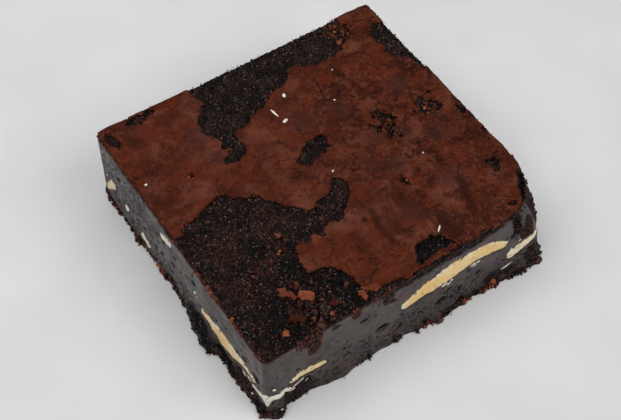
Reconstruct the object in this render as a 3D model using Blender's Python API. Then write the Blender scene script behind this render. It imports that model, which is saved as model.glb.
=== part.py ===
"""A square of chocolate brownie with chunks of white chocolate baked into it.

Lengths are in metres, +Z is up, and the brownie stands on z = 0 under the middle of its own box. Its
left side faces -X and its front faces -Y. The crumb is one block, and each chunk that a cut side
shows is a node of its own. A chunk fills a pocket of the crumb and is cut flush with the block's sides.
"""

import math
from dataclasses import dataclass

import bmesh
import bpy
import numpy as np
from mathutils import Euler, Matrix, Vector, noise

MM = 0.001

# Driving dimensions of the block.
HEIGHT = 21.4 * MM  # to the top crust
TOP_LEFT = -35.0 * MM  # where each cut starts at the top edge
TOP_RIGHT = 35.8 * MM
TOP_FRONT = -32.2 * MM
TOP_BACK = 33.6 * MM
RIM = 1.2 * MM  # rounding of the top edge

# The corner between front and right is worn off at the top; the other three stay crisp.
WORN_RADIUS_FOOT = 3.0 * MM
WORN_RADIUS_TOP = 10.0 * MM
WORN_RISE = 7.0  # the wear gathers in the top few millimetres
CRISP_RADIUS = 1.0 * MM

# How far the foot stands out from the top edge: (place along the side, distance out).
LEFT_FOOT = [(33.5, 0.3), (25.5, 1.0), (18.5, 0.4), (1.5, 0.2), (-8.5, 1.9), (-13.6, 2.9), (-14.8, 0.9),
             (-22.5, 1.7), (-25.5, 1.1), (-28.5, 1.4), (-32.5, 0.9)]
FRONT_FOOT = [(-35.7, 0.7), (-31.9, 2.9), (-30.2, 0.9), (-24.2, 0.7), (-17.2, 2.0), (-7.2, 1.2), (-0.2, 1.5),
              (5.8, 2.5), (11.8, 2.0), (16.8, 1.6), (24.8, 2.5), (32.8, 2.9), (35.8, 2.0)]
RIGHT_FOOT = [(-35, 1.9), (-26, 1.6), (-18, 1.0), (4, 0.7), (17, 1.0), (34, 0.8)]
BACK_FOOT = [(-35, 0.6), (-12, 1.1), (9, 0.7), (22, 1.2), (36, 0.7)]
LEAN_LEFT = 0.3  # the share of that distance which is the slant of the cut; the rest is loose foot
LEAN_FRONT = 0.65
LEAN_HIDDEN = 0.5
FOOT_RISE = 2.6 * MM  # height over which the loose foot dies away
RAGGED = 0.45 * MM  # how far crumbs push the foot in and out
RAGGED_PITCH = 3.4 * MM
WAVE = 0.28 * MM  # swell of the top
WAVE_PITCH = 17.0 * MM

# Grid of the block.
CELLS = 28  # across the length and the width
SIDE_LEVELS = [0.8, 1.9, 3.4, 6.0, 9.5, 13.0, 16.2, 18.6]  # mm above the foot

GAP = 0.3 * MM  # left between a chunk and its pocket
BLUNTNESS = 2.4  # 2 gives a chunk the section of an ellipse, more makes it boxier

CRUMB_COLOUR = (0.016, 0.009, 0.007)
CHOCOLATE_COLOUR = (0.62, 0.45, 0.26)


@dataclass(frozen=True)
class Chunk:
    """A piece of white chocolate that a cut side lays open. Lengths are in millimetres, turns in degrees."""

    name: str
    middle: tuple  # a point on the cut side, on the line where the chunk is longest
    turn: tuple  # degrees about X, Y and Z; unturned, the length lies along X and the depth along Y
    half_length: float
    rise: float  # how far it swells above its middle line
    drop: float  # and below it
    depth: float  # how far it reaches into the crumb
    taper: float = 0.0  # share by which it is thicker at the far end of its length than in the middle
    rings: int = 8


CHUNKS = [
    Chunk("chunk_front_large", (11.4, -32.6, 12.6), (0, -2.5, 0), 13.7, 4.3, 0.9, 6.0, rings=14),
    Chunk("chunk_front_small", (-24.5, -32.6, 7.7), (0, -2, 0), 4.3, 0.9, 1.1, 3.0, rings=8),
    Chunk("chunk_right_corner", (31.5, -32.0, 8.6), (0, -11, 22), 6.8, 1.3, 1.3, 3.5, -0.1, 10),
    Chunk("chunk_left_corner", (-33.1, -30.6, 5.4), (20, -2, -30), 5.6, 0.9, 0.9, 3.6, rings=10),
    Chunk("chunk_left_large", (-35.2, -18.9, 8.6), (0, -4, -90), 9.7, 2.4, 3.0, 5.5, -0.15, 12),
    Chunk("chip_left_1", (-35.1, 31.2, 5.4), (0, -40, -90), 2.9, 2.2, 2.0, 2.5, -0.3),
    Chunk("chip_left_2", (-35.2, 24.0, 4.5), (0, 0, -90), 1.4, 1.3, 1.3, 2.0, rings=6),
    Chunk("chip_left_3", (-35.1, 13.5, 4.5), (0, 6, -90), 2.8, 0.8, 0.8, 2.0, rings=6),
    Chunk("chip_left_4", (-35.0, 4.4, 17.0), (0, -36, -90), 2.8, 1.1, 1.1, 2.0),
    Chunk("chunk_back_large", (-8.0, 33.9, 9.6), (0, 4, 180), 8.4, 2.5, 1.6, 5.0, 0.1, 10),
    Chunk("chip_back", (19.5, 33.9, 13.2), (0, -28, 180), 2.5, 0.9, 1.0, 2.0, rings=6),
    Chunk("chunk_right_large", (36.1, 9.0, 11.4), (0, 6, 90), 6.2, 1.8, 1.1, 4.0, rings=8),
    Chunk("chip_right", (36.3, -11.5, 5.8), (0, -22, 90), 2.1, 0.9, 0.9, 2.0, rings=6),
]


def clear_scene():
    """Remove every object, so that only the brownie is left."""
    for item in list(bpy.data.objects):
        bpy.data.objects.remove(item)


def foot_line(points):
    """The places and the distances of a foot line, in metres and in rising order of place."""
    places, distances = zip(*sorted(points))
    return np.array(places) * MM, np.array(distances) * MM


LINES = {
    "left": (*foot_line(LEFT_FOOT), LEAN_LEFT),
    "right": (*foot_line(RIGHT_FOOT), LEAN_HIDDEN),
    "front": (*foot_line(FRONT_FOOT), LEAN_FRONT),
    "back": (*foot_line(BACK_FOOT), LEAN_HIDDEN),
}


def stands_out(side, along, height):
    """How far a side stands out from its top edge, at a place along it and a height."""
    places, distances, lean = LINES[side]
    foot = float(np.interp(along, places, distances))
    slant = lean * (1.0 - height / HEIGHT)
    loose = (1.0 - lean) * math.exp(-((height / FOOT_RISE) ** 2))
    rough = noise.noise(Vector((along, height, 31.0 * MM * len(side))) / RAGGED_PITCH)
    return foot * (slant + loose) + RAGGED * rough * math.exp(-((height / FOOT_RISE) ** 2))


def round_corner(x, y, corner_x, corner_y, radius):
    """Press a square corner into a quarter circle of the given radius."""
    toward_x = 1.0 if corner_x > 0 else -1.0
    toward_y = 1.0 if corner_y > 0 else -1.0
    centre_x = corner_x - toward_x * radius
    centre_y = corner_y - toward_y * radius
    a = (x - centre_x) * toward_x / radius
    b = (y - centre_y) * toward_y / radius
    if a <= 0.0 or b <= 0.0:
        return x, y
    a = min(a, 1.0)
    b = min(b, 1.0)
    pressed_a = a * math.sqrt(1.0 - b * b / 2.0)
    pressed_b = b * math.sqrt(1.0 - a * a / 2.0)
    return centre_x + toward_x * radius * pressed_a, centre_y + toward_y * radius * pressed_b


def block_point(u, v, w):
    """The place on the block of a point of the unit cube, with u, v and w from 0 to 1."""
    height = w * (HEIGHT - RIM)
    x = TOP_LEFT + (TOP_RIGHT - TOP_LEFT) * u
    y = TOP_FRONT + (TOP_BACK - TOP_FRONT) * v
    left = TOP_LEFT - stands_out("left", y, height)
    right = TOP_RIGHT + stands_out("right", y, height)
    front = TOP_FRONT - stands_out("front", x, height)
    back = TOP_BACK + stands_out("back", x, height)
    x = left + (right - left) * u
    y = front + (back - front) * v
    worn = WORN_RADIUS_FOOT + (WORN_RADIUS_TOP - WORN_RADIUS_FOOT) * w ** WORN_RISE
    x, y = round_corner(x, y, right, front, worn)
    for corner_x, corner_y in ((left, front), (left, back), (right, back)):
        x, y = round_corner(x, y, corner_x, corner_y, CRISP_RADIUS)
    if w < 1.0:
        return Vector((x, y, height))
    inset = min(u * (right - left), (1 - u) * (right - left), v * (back - front), (1 - v) * (back - front))
    inset = min(inset, RIM)
    rise = math.sqrt(RIM * RIM - (RIM - inset) ** 2)
    swell = WAVE * noise.noise(Vector((x, y, 0.0)) / WAVE_PITCH) * inset / RIM
    return Vector((x, y, height + rise + swell))


def slice_cube(bm, axis, places):
    """Cut the mesh across an axis at each of the places."""
    for place in places:
        point = Vector((0.0, 0.0, 0.0))
        point[axis] = place
        normal = Vector((0.0, 0.0, 0.0))
        normal[axis] = 1.0
        geometry = bm.verts[:] + bm.edges[:] + bm.faces[:]
        bmesh.ops.bisect_plane(bm, geom=geometry, plane_co=point, plane_no=normal)


def rim_and_cells(span):
    """Cuts across a side of the block: an even grid, and closer cuts on the two rounded rims."""
    inner = [n / CELLS for n in range(1, CELLS)]
    rim = [share * RIM / span for share in (0.3, 1.0)]
    return sorted(inner + rim + [1.0 - place for place in rim])


def crumb_block():
    """The block of crumb, uncut by the chunks."""
    bm = bmesh.new()
    bmesh.ops.create_cube(bm, size=1.0, matrix=Matrix.Translation((0.5, 0.5, 0.5)))
    slice_cube(bm, 0, rim_and_cells(TOP_RIGHT - TOP_LEFT))
    slice_cube(bm, 1, rim_and_cells(TOP_BACK - TOP_FRONT))
    slice_cube(bm, 2, [level * MM / (HEIGHT - RIM) for level in SIDE_LEVELS])
    base = [face for face in bm.faces if face.calc_center_median().z < 1e-6]
    bmesh.ops.dissolve_faces(bm, faces=base)
    for vertex in bm.verts:
        vertex.co = block_point(*vertex.co)
    mesh = bpy.data.meshes.new("crumb")
    bm.to_mesh(mesh)
    bm.free()
    return mesh


def chunk_shape(chunk, margin):
    """The rounded form of a chunk, larger all round by a margin in metres."""
    bm = bmesh.new()
    poles_along_x = Matrix.Rotation(math.pi / 2, 4, "Y")
    bmesh.ops.create_uvsphere(bm, u_segments=14, v_segments=chunk.rings, radius=1.0, matrix=poles_along_x)
    for vertex in bm.verts:
        blunt = sum(abs(part) ** BLUNTNESS for part in vertex.co) ** (-1.0 / BLUNTNESS)
        x, y, z = vertex.co * blunt
        thickness = (chunk.rise if z > 0 else chunk.drop) * (1.0 + chunk.taper * x)
        vertex.co.x = x * (chunk.half_length * MM + margin)
        vertex.co.y = y * (chunk.depth * MM + margin)
        vertex.co.z = z * (thickness * MM + margin)
    mesh = bpy.data.meshes.new(chunk.name)
    bm.to_mesh(mesh)
    bm.free()
    return mesh


def place(mesh, name, chunk, collection):
    """An object for a chunk's shape, put where the chunk lies."""
    item = bpy.data.objects.new(name, mesh)
    item.location = Vector(chunk.middle) * MM
    item.rotation_euler = Euler([math.radians(angle) for angle in chunk.turn])
    collection.objects.link(item)
    return item


def cut(item, operation, other):
    """Add a Boolean of one object with another."""
    boolean = item.modifiers.new(other.name, "BOOLEAN")
    boolean.operation = operation
    boolean.solver = "EXACT"
    boolean.object = other


def finish(item, colour, roughness):
    """Give an object its own Principled material and smooth shading."""
    material = bpy.data.materials.new(item.name)
    material.use_nodes = True
    shader = material.node_tree.nodes["Principled BSDF"]
    shader.inputs["Base Color"].default_value = (*colour, 1.0)
    shader.inputs["Roughness"].default_value = roughness
    shader.inputs["Metallic"].default_value = 0.0
    item.data.materials.append(material)
    item.data.shade_smooth()
    item.data.set_sharp_from_angle(angle=math.radians(35))


def collection_named(name):
    """A new collection in the scene."""
    collection = bpy.data.collections.new(name)
    bpy.context.scene.collection.children.link(collection)
    return collection


def main():
    """Build the crumb, then each chunk with its pocket."""
    clear_scene()
    brownie = collection_named("brownie")
    cutters = collection_named("cutters")
    crumb = bpy.data.objects.new("crumb", crumb_block())
    block = bpy.data.objects.new("cut_block", crumb.data.copy())
    brownie.objects.link(crumb)
    cutters.objects.link(block)
    finish(crumb, CRUMB_COLOUR, 0.45)
    for chunk in CHUNKS:
        pocket = place(chunk_shape(chunk, GAP), "pocket_" + chunk.name, chunk, cutters)
        cut(crumb, "DIFFERENCE", pocket)
        piece = place(chunk_shape(chunk, 0.0), chunk.name, chunk, brownie)
        finish(piece, CHOCOLATE_COLOUR, 0.4)
        cut(piece, "INTERSECT", block)
    for cutter in cutters.objects:
        cutter.hide_render = True
        cutter.display_type = "WIRE"


main()
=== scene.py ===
"""Looks of a square of chocolate brownie: papery crust, dark crumb and white chocolate at the cuts.

Lengths are in millimetres here and become metres where a mesh is made. The brownie stands on z = 0. Its
left side faces -X and its front faces -Y. Each class below is one part of it, or one of its finishes.
"""

import logging
import math
from dataclasses import dataclass, field
from enum import Enum
from typing import Callable

import bmesh
import bpy
import numpy as np
from mathutils import Euler, Matrix, Vector, noise

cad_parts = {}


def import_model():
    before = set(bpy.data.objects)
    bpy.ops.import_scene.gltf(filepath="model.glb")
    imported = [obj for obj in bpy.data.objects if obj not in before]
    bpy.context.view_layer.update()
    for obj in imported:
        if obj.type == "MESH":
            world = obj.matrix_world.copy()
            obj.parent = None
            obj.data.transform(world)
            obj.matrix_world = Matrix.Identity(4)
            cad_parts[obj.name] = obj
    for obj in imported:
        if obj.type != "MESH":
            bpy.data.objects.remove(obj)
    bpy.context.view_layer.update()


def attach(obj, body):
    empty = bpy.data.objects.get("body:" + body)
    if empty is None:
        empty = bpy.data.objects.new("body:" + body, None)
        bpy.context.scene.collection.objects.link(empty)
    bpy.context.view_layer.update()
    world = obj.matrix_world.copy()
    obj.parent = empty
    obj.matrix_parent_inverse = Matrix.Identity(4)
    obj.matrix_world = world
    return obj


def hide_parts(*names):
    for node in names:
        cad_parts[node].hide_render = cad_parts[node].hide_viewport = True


MM = 0.001
SEED = 61
LOG = logging.getLogger("brownie")
Points = list[tuple[float, float]]


# ---------------------------------------------------------------------------------------------------
# Arithmetic on fields: arrays of numbers over the cake's surfaces
# ---------------------------------------------------------------------------------------------------

def perlin(points: np.ndarray, pitch: float, octaves: int = 1, seed: float = 0.0) -> np.ndarray:
    """Smooth noise at each of many points.

    Args:
        points: rows of x, y, z in millimetres.
        pitch: size of one lump of the noise, in millimetres.
        octaves: how many ever finer layers are summed.
        seed: moves the pattern elsewhere.

    Returns:
        One value a point, from about -1 to 1.
    """
    places = (np.asarray(points) / pitch + np.array([17.3, 5.7, 29.1]) * seed).tolist()
    if octaves == 1:
        return np.array([noise.noise(place) for place in places])
    return np.array([noise.fractal(place, 1.0, 2.0, octaves) for place in places])


def smoothstep(low: float, high: float, values: np.ndarray) -> np.ndarray:
    """Turn values between low and high into a soft ramp from 0 to 1.

    Args:
        low: the value that gives 0. It may be above high.
        high: the value that gives 1.
        values: what is ramped.

    Returns:
        The ramped values.
    """
    share = np.clip((values - low) / (high - low), 0.0, 1.0)
    return share * share * (3.0 - 2.0 * share)


def rows(*columns: np.ndarray | float) -> np.ndarray:
    """Stack equal columns, or plain numbers, into rows of points."""
    return np.stack(np.broadcast_arrays(*columns), axis=-1).astype(float)


def rounded(outline: Points, times: int) -> Points:
    """Cut the corners of a closed outline, which rounds it a little more each time.

    Args:
        outline: its corner points in order.
        times: how often the corners are cut.

    Returns:
        The rounder outline.
    """
    points = np.array(outline, float)
    for _ in range(times):
        after = np.roll(points, -1, axis=0)
        points = np.stack([0.75 * points + 0.25 * after, 0.25 * points + 0.75 * after], axis=1).reshape(-1, 2)
    return [tuple(point) for point in points]


def distance_to_line(x: np.ndarray, y: np.ndarray, line: Points) -> np.ndarray:
    """Distance of each point from an open line of straight pieces.

    Args:
        x: first coordinate of the points.
        y: second coordinate of the points.
        line: the line's points in order.

    Returns:
        The distances, in the units of the points.
    """
    nearest = np.full(np.shape(x), 1e9)
    for (ax, ay), (bx, by) in zip(line[:-1], line[1:]):
        ex, ey = bx - ax, by - ay
        share = np.clip(((x - ax) * ex + (y - ay) * ey) / (ex * ex + ey * ey + 1e-12), 0.0, 1.0)
        nearest = np.minimum(nearest, np.hypot(x - ax - share * ex, y - ay - share * ey))
    return nearest


def depth_inside(x: np.ndarray, y: np.ndarray, outline: Points) -> np.ndarray:
    """Distance in from a closed outline.

    Args:
        x: first coordinate of the points.
        y: second coordinate of the points.
        outline: the outline's corner points in order.

    Returns:
        Distances from the outline, positive inside it and negative outside.
    """
    closed = [*outline, outline[0]]
    inside = np.zeros(np.shape(x), bool)
    for (ax, ay), (bx, by) in zip(closed[:-1], closed[1:]):
        if ay != by:
            inside ^= ((ay > y) != (by > y)) & (x < ax + (y - ay) * (bx - ax) / (by - ay))
    nearest = distance_to_line(x, y, closed)
    return np.where(inside, nearest, -nearest)


# ---------------------------------------------------------------------------------------------------
# Meshes
# ---------------------------------------------------------------------------------------------------

def mesh_object(name: str, points: np.ndarray, faces: list, marks: dict[str, np.ndarray]) -> bpy.types.Object:
    """Make an object of points in millimetres.

    Args:
        name: name of the object.
        points: rows of x, y, z.
        faces: tuples of point numbers, anticlockwise seen from outside.
        marks: a number a point for each name, which the materials read.

    Returns:
        The smooth-shaded object, in the scene.
    """
    mesh = bpy.data.meshes.new(name)
    mesh.from_pydata((points * MM).tolist(), [], faces)
    for mark, values in marks.items():
        attribute = mesh.attributes.new(mark, "FLOAT", "POINT")
        attribute.data.foreach_set("value", np.asarray(values, np.float32))
    mesh.shade_smooth()
    item = bpy.data.objects.new(name, mesh)
    bpy.context.scene.collection.objects.link(item)
    return item


def point_normals(points: np.ndarray, faces: list) -> np.ndarray:
    """The outward normal at each point of a mesh.

    Args:
        points: rows of x, y, z.
        faces: tuples of point numbers.

    Returns:
        Rows of unit vectors.
    """
    mesh = bpy.data.meshes.new("normals")
    mesh.from_pydata(points.tolist(), [], faces)
    normals = np.zeros(len(points) * 3, np.float32)
    mesh.vertex_normals.foreach_get("vector", normals)
    bpy.data.meshes.remove(mesh)
    return normals.reshape(-1, 3).astype(float)


@dataclass
class ClippedSheet:
    """A plate whose outline is where a field over a flat grid falls to zero.

    The grid's cells that lie on the outline are cut along it, so the rim is as fine as the field and not
    as coarse as the grid. A second layer and a wall along the rim close the plate.
    """

    across: np.ndarray
    up: np.ndarray
    amount: np.ndarray  # the field, above zero where there is material
    spots: list = field(default_factory=list)  # (across, up, amount) of each point in use
    faces: list = field(default_factory=list)  # tuples of point numbers
    rim: list = field(default_factory=list)  # pairs of point numbers along the outline
    numbers: dict = field(default_factory=dict)  # the point number at a grid corner or on a grid edge

    def corner(self, i: int, j: int) -> int:
        """The point number of a grid corner."""
        if (i, j) not in self.numbers:
            self.numbers[i, j] = len(self.spots)
            self.spots.append((self.across[i], self.up[j], self.amount[i, j]))
        return self.numbers[i, j]

    def crossing(self, first: tuple[int, int], second: tuple[int, int]) -> int:
        """The point number where the outline crosses the grid edge between two corners."""
        key = tuple(sorted((first, second)))
        if key not in self.numbers:
            (i, j), (k, n) = key
            share = self.amount[i, j] / (self.amount[i, j] - self.amount[k, n])
            share = min(max(share, 0.04), 0.96)
            self.numbers[key] = len(self.spots)
            x = self.across[i] + share * (self.across[k] - self.across[i])
            y = self.up[j] + share * (self.up[n] - self.up[j])
            self.spots.append((x, y, 0.0))
        return self.numbers[key]

    def clip_cell(self, i: int, j: int) -> None:
        """Add the part of one cell that lies inside the outline."""
        corners = [(i, j), (i + 1, j), (i + 1, j + 1), (i, j + 1)]
        face = []
        leaving = []
        for here, there in zip(corners, corners[1:] + corners[:1]):
            inside = self.amount[here] > 0.0
            if inside:
                face.append(self.corner(*here))
            if inside != (self.amount[there] > 0.0):
                face.append(self.crossing(here, there))
                leaving.append((inside, len(face) - 1))
        for inside, at in leaving:
            if inside:
                self.rim.append((face[at], face[(at + 1) % len(face)]))
        self.faces.append(tuple(face))

    def clip(self) -> np.ndarray:
        """Cut the whole grid.

        Returns:
            Rows of across, up and amount, one for each point of a layer.
        """
        some = self.amount > 0.0
        touched = some[:-1, :-1] | some[1:, :-1] | some[1:, 1:] | some[:-1, 1:]
        for i, j in np.argwhere(touched).tolist():
            self.clip_cell(i, j)
        return np.array(self.spots)

    def solid(self, name: str, upper: np.ndarray, lower: np.ndarray,
              marks: dict[str, np.ndarray]) -> bpy.types.Object:
        """Close the plate between two layers.

        Args:
            name: name of the object.
            upper: where the points of the outer layer are.
            lower: where the same points of the inner layer are.
            marks: a number a point of a layer for each name, which the materials read.

        Returns:
            The closed plate.
        """
        count = len(upper)
        under = [tuple(number + count for number in reversed(face)) for face in self.faces]
        walls = [(b, a, a + count, b + count) for a, b in self.rim]
        doubled = {mark: np.concatenate([values, values]) for mark, values in marks.items()}
        item = mesh_object(name, np.concatenate([upper, lower]), self.faces + under + walls, doubled)
        item.data.set_sharp_from_angle(angle=math.radians(50))
        return item


# ---------------------------------------------------------------------------------------------------
# The block that the knife cut
# ---------------------------------------------------------------------------------------------------

class Side(Enum):
    """The four cut sides. The number moves the ragged pattern of one away from that of another."""

    FRONT = 5.0
    RIGHT = 5.01
    BACK = 4.0
    LEFT = 4.01


@dataclass(frozen=True)
class Cut:
    """One cut side: how far its foot stands out, and how much of that is the slant of the knife."""

    foot: Points
    lean: float


CUTS = {
    Side.LEFT: Cut([(-32.5, 0.4), (-28.5, 0.6), (-25.5, 0.4), (-22.5, 1.0), (-14.8, 0.9), (-13.6, 2.9),
                    (-8.5, 1.9), (1.5, 0.2), (18.5, 0.4), (25.5, 0.4), (33.5, 0.2)], 0.3),
    Side.FRONT: Cut([(-35.7, 0.7), (-31.9, 2.9), (-30.2, 0.9), (-24.2, 0.7), (-17.2, 2.0), (-7.2, 1.2),
                     (-0.2, 1.5), (5.8, 2.5), (11.8, 2.0), (16.8, 1.6), (24.8, 2.5), (32.8, 2.9),
                     (35.8, 2.0)], 0.65),
    Side.RIGHT: Cut([(-35, 1.9), (-26, 1.6), (-18, 1.0), (4, 0.7), (17, 1.0), (34, 0.8)], 0.5),
    Side.BACK: Cut([(-35, 0.6), (-12, 1.1), (9, 0.7), (22, 1.2), (36, 0.7)], 0.5),
}


@dataclass(frozen=True)
class Block:
    """The block of cake, with the same driving sizes as its solid and a crisper top edge."""

    height: float = 21.4
    left: float = -35.0
    right: float = 35.8
    front: float = -32.2
    back: float = 33.6
    rim: float = 0.5
    worn_foot: float = 3.0  # radius of the worn corner, front right, at the foot
    worn_top: float = 13.0
    worn_rise: float = 3.0
    crisp: float = 1.0  # radius of the other corners
    foot_rise: float = 2.6
    ragged: float = 0.45
    ragged_pitch: float = 3.4
    wave: float = 0.28
    wave_pitch: float = 17.0
    ceiling: float = 22.18  # nothing on top stands higher

    @property
    def width(self) -> float:
        """Length of the front and the back."""
        return self.right - self.left

    @property
    def depth(self) -> float:
        """Length of the left and the right side."""
        return self.back - self.front

    @property
    def girth(self) -> float:
        """Length of the way round all four sides."""
        return 2.0 * (self.width + self.depth)

    def start(self, side: Side) -> tuple[float, float, float]:
        """Where a side starts on the way round, the coordinate there, and the way that this runs."""
        return {
            Side.FRONT: (0.0, self.left, 1.0),
            Side.RIGHT: (self.width, self.front, 1.0),
            Side.BACK: (self.width + self.depth, self.right, -1.0),
            Side.LEFT: (self.girth, self.front, -1.0),
        }[side]

    def way_round(self, side: Side, along: np.ndarray) -> np.ndarray:
        """Turn a coordinate along a side, which may run on past its corner, into the way round."""
        start, origin, direction = self.start(side)
        return (start + direction * (along - origin)) % self.girth

    def along(self, side: Side, way: np.ndarray) -> np.ndarray:
        """Turn the way round into the coordinate along a side."""
        start, origin, direction = self.start(side)
        half = self.girth / 2.0
        return origin + direction * ((way - start + half) % self.girth - half)

    def stands_out(self, side: Side, along: np.ndarray, height: np.ndarray) -> np.ndarray:
        """How far a side stands out from its top edge.

        Args:
            side: which side.
            along: coordinates along it.
            height: heights above the foot.

        Returns:
            The distances out.
        """
        cut = CUTS[side]
        foot = np.interp(along, *np.array(cut.foot).T)
        fade = np.exp(-((height / self.foot_rise) ** 2))
        out = foot * (cut.lean * (1.0 - height / self.height) + (1.0 - cut.lean) * fade)
        low = fade > 0.01
        places = rows(along, height, 31.0 * round(side.value))[low]
        out[low] += self.ragged * perlin(places, self.ragged_pitch) * fade[low]
        return out

    def press_corner(self, x: np.ndarray, y: np.ndarray, corner_x: np.ndarray, corner_y: np.ndarray,
                     radius: np.ndarray | float) -> tuple[np.ndarray, np.ndarray]:
        """Press a square corner into a quarter circle.

        Args:
            x: x of the points.
            y: y of the points.
            corner_x: x of the corner, for each point.
            corner_y: y of the corner, for each point.
            radius: radius of the quarter circle.

        Returns:
            The pressed x and y.
        """
        toward_x = np.sign(corner_x)
        toward_y = np.sign(corner_y)
        centre_x = corner_x - toward_x * radius
        centre_y = corner_y - toward_y * radius
        a = (x - centre_x) * toward_x / radius
        b = (y - centre_y) * toward_y / radius
        pressed = (a > 0.0) & (b > 0.0)
        a = np.clip(a, 0.0, 1.0)
        b = np.clip(b, 0.0, 1.0)
        new_x = centre_x + toward_x * radius * a * np.sqrt(1.0 - b * b / 2.0)
        new_y = centre_y + toward_y * radius * b * np.sqrt(1.0 - a * a / 2.0)
        return np.where(pressed, new_x, x), np.where(pressed, new_y, y)

    def swell(self, x: np.ndarray, y: np.ndarray) -> np.ndarray:
        """The slow swell of the top."""
        return self.wave * perlin(rows(x, y, 0.0), self.wave_pitch)

    def points(self, u: np.ndarray, v: np.ndarray, w: np.ndarray) -> np.ndarray:
        """Where points of the unit cube lie on the block.

        Args:
            u: share of the width, from the left.
            v: share of the depth, from the front.
            w: share of the height, where 1 is the whole top with its rim.

        Returns:
            Rows of x, y, z.
        """
        height = w * (self.height - self.rim)
        x = self.left + self.width * u
        y = self.front + self.depth * v
        left = self.left - self.stands_out(Side.LEFT, y, height)
        right = self.right + self.stands_out(Side.RIGHT, y, height)
        front = self.front - self.stands_out(Side.FRONT, x, height)
        back = self.back + self.stands_out(Side.BACK, x, height)
        x = left + (right - left) * u
        y = front + (back - front) * v
        worn = self.worn_foot + (self.worn_top - self.worn_foot) * w ** self.worn_rise
        x, y = self.press_corner(x, y, right, front, worn)
        for corner_x, corner_y in ((left, front), (left, back), (right, back)):
            x, y = self.press_corner(x, y, corner_x, corner_y, self.crisp)
        inset = np.minimum.reduce([u * (right - left), (1 - u) * (right - left), v * (back - front),
                                   (1 - v) * (back - front), np.full(u.shape, self.rim)])
        rise = np.sqrt(np.maximum(self.rim ** 2 - (self.rim - inset) ** 2, 0.0))
        top = w >= 1.0
        lifted = np.zeros(u.shape)
        lifted[top] = rise[top] + self.swell(x[top], y[top]) * inset[top] / self.rim
        return rows(x, y, height + lifted)

    def on_side(self, way: np.ndarray, height: np.ndarray) -> np.ndarray:
        """Where points of the four sides lie, from the way round and the height."""
        stops = np.cumsum([0.0, self.width, self.depth, self.width, self.depth])
        turned = way % self.girth
        u = np.interp(turned, stops, [0, 1, 1, 0, 0])
        v = np.interp(turned, stops, [0, 0, 1, 1, 0])
        w = np.minimum(height / (self.height - self.rim), 0.9999)
        return self.points(u, v, w)

    def off_side(self, way: np.ndarray, height: np.ndarray, out: np.ndarray | float) -> np.ndarray:
        """Points at a distance out from the four sides.

        Args:
            way: the way round.
            height: the height.
            out: distance from the side, negative into the cake.

        Returns:
            Rows of x, y, z.
        """
        step = 0.25
        here = self.on_side(way, height)
        onward = self.on_side(way + step, height) - self.on_side(way - step, height)
        upward = self.on_side(way, height + step) - self.on_side(way, np.maximum(height - step, 0.0))
        normal = np.cross(onward, upward)
        normal /= np.linalg.norm(normal, axis=1, keepdims=True) + 1e-9
        return here + normal * np.reshape(out, (-1, 1))


# ---------------------------------------------------------------------------------------------------
# Where the crust has flaked away
# ---------------------------------------------------------------------------------------------------

@dataclass(frozen=True)
class Patch:
    """A place where the crust is gone and the crumb lies open."""

    depth: float  # how far below the crust's underside the crumb lies
    outline: Points


@dataclass(frozen=True)
class Crater:
    """A burst bubble, where the crust is broken into scales."""

    x: float
    y: float
    radius: float


@dataclass(frozen=True)
class Crease:
    """A fold or crack in the crust."""

    depth: float
    width: float
    line: Points


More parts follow.
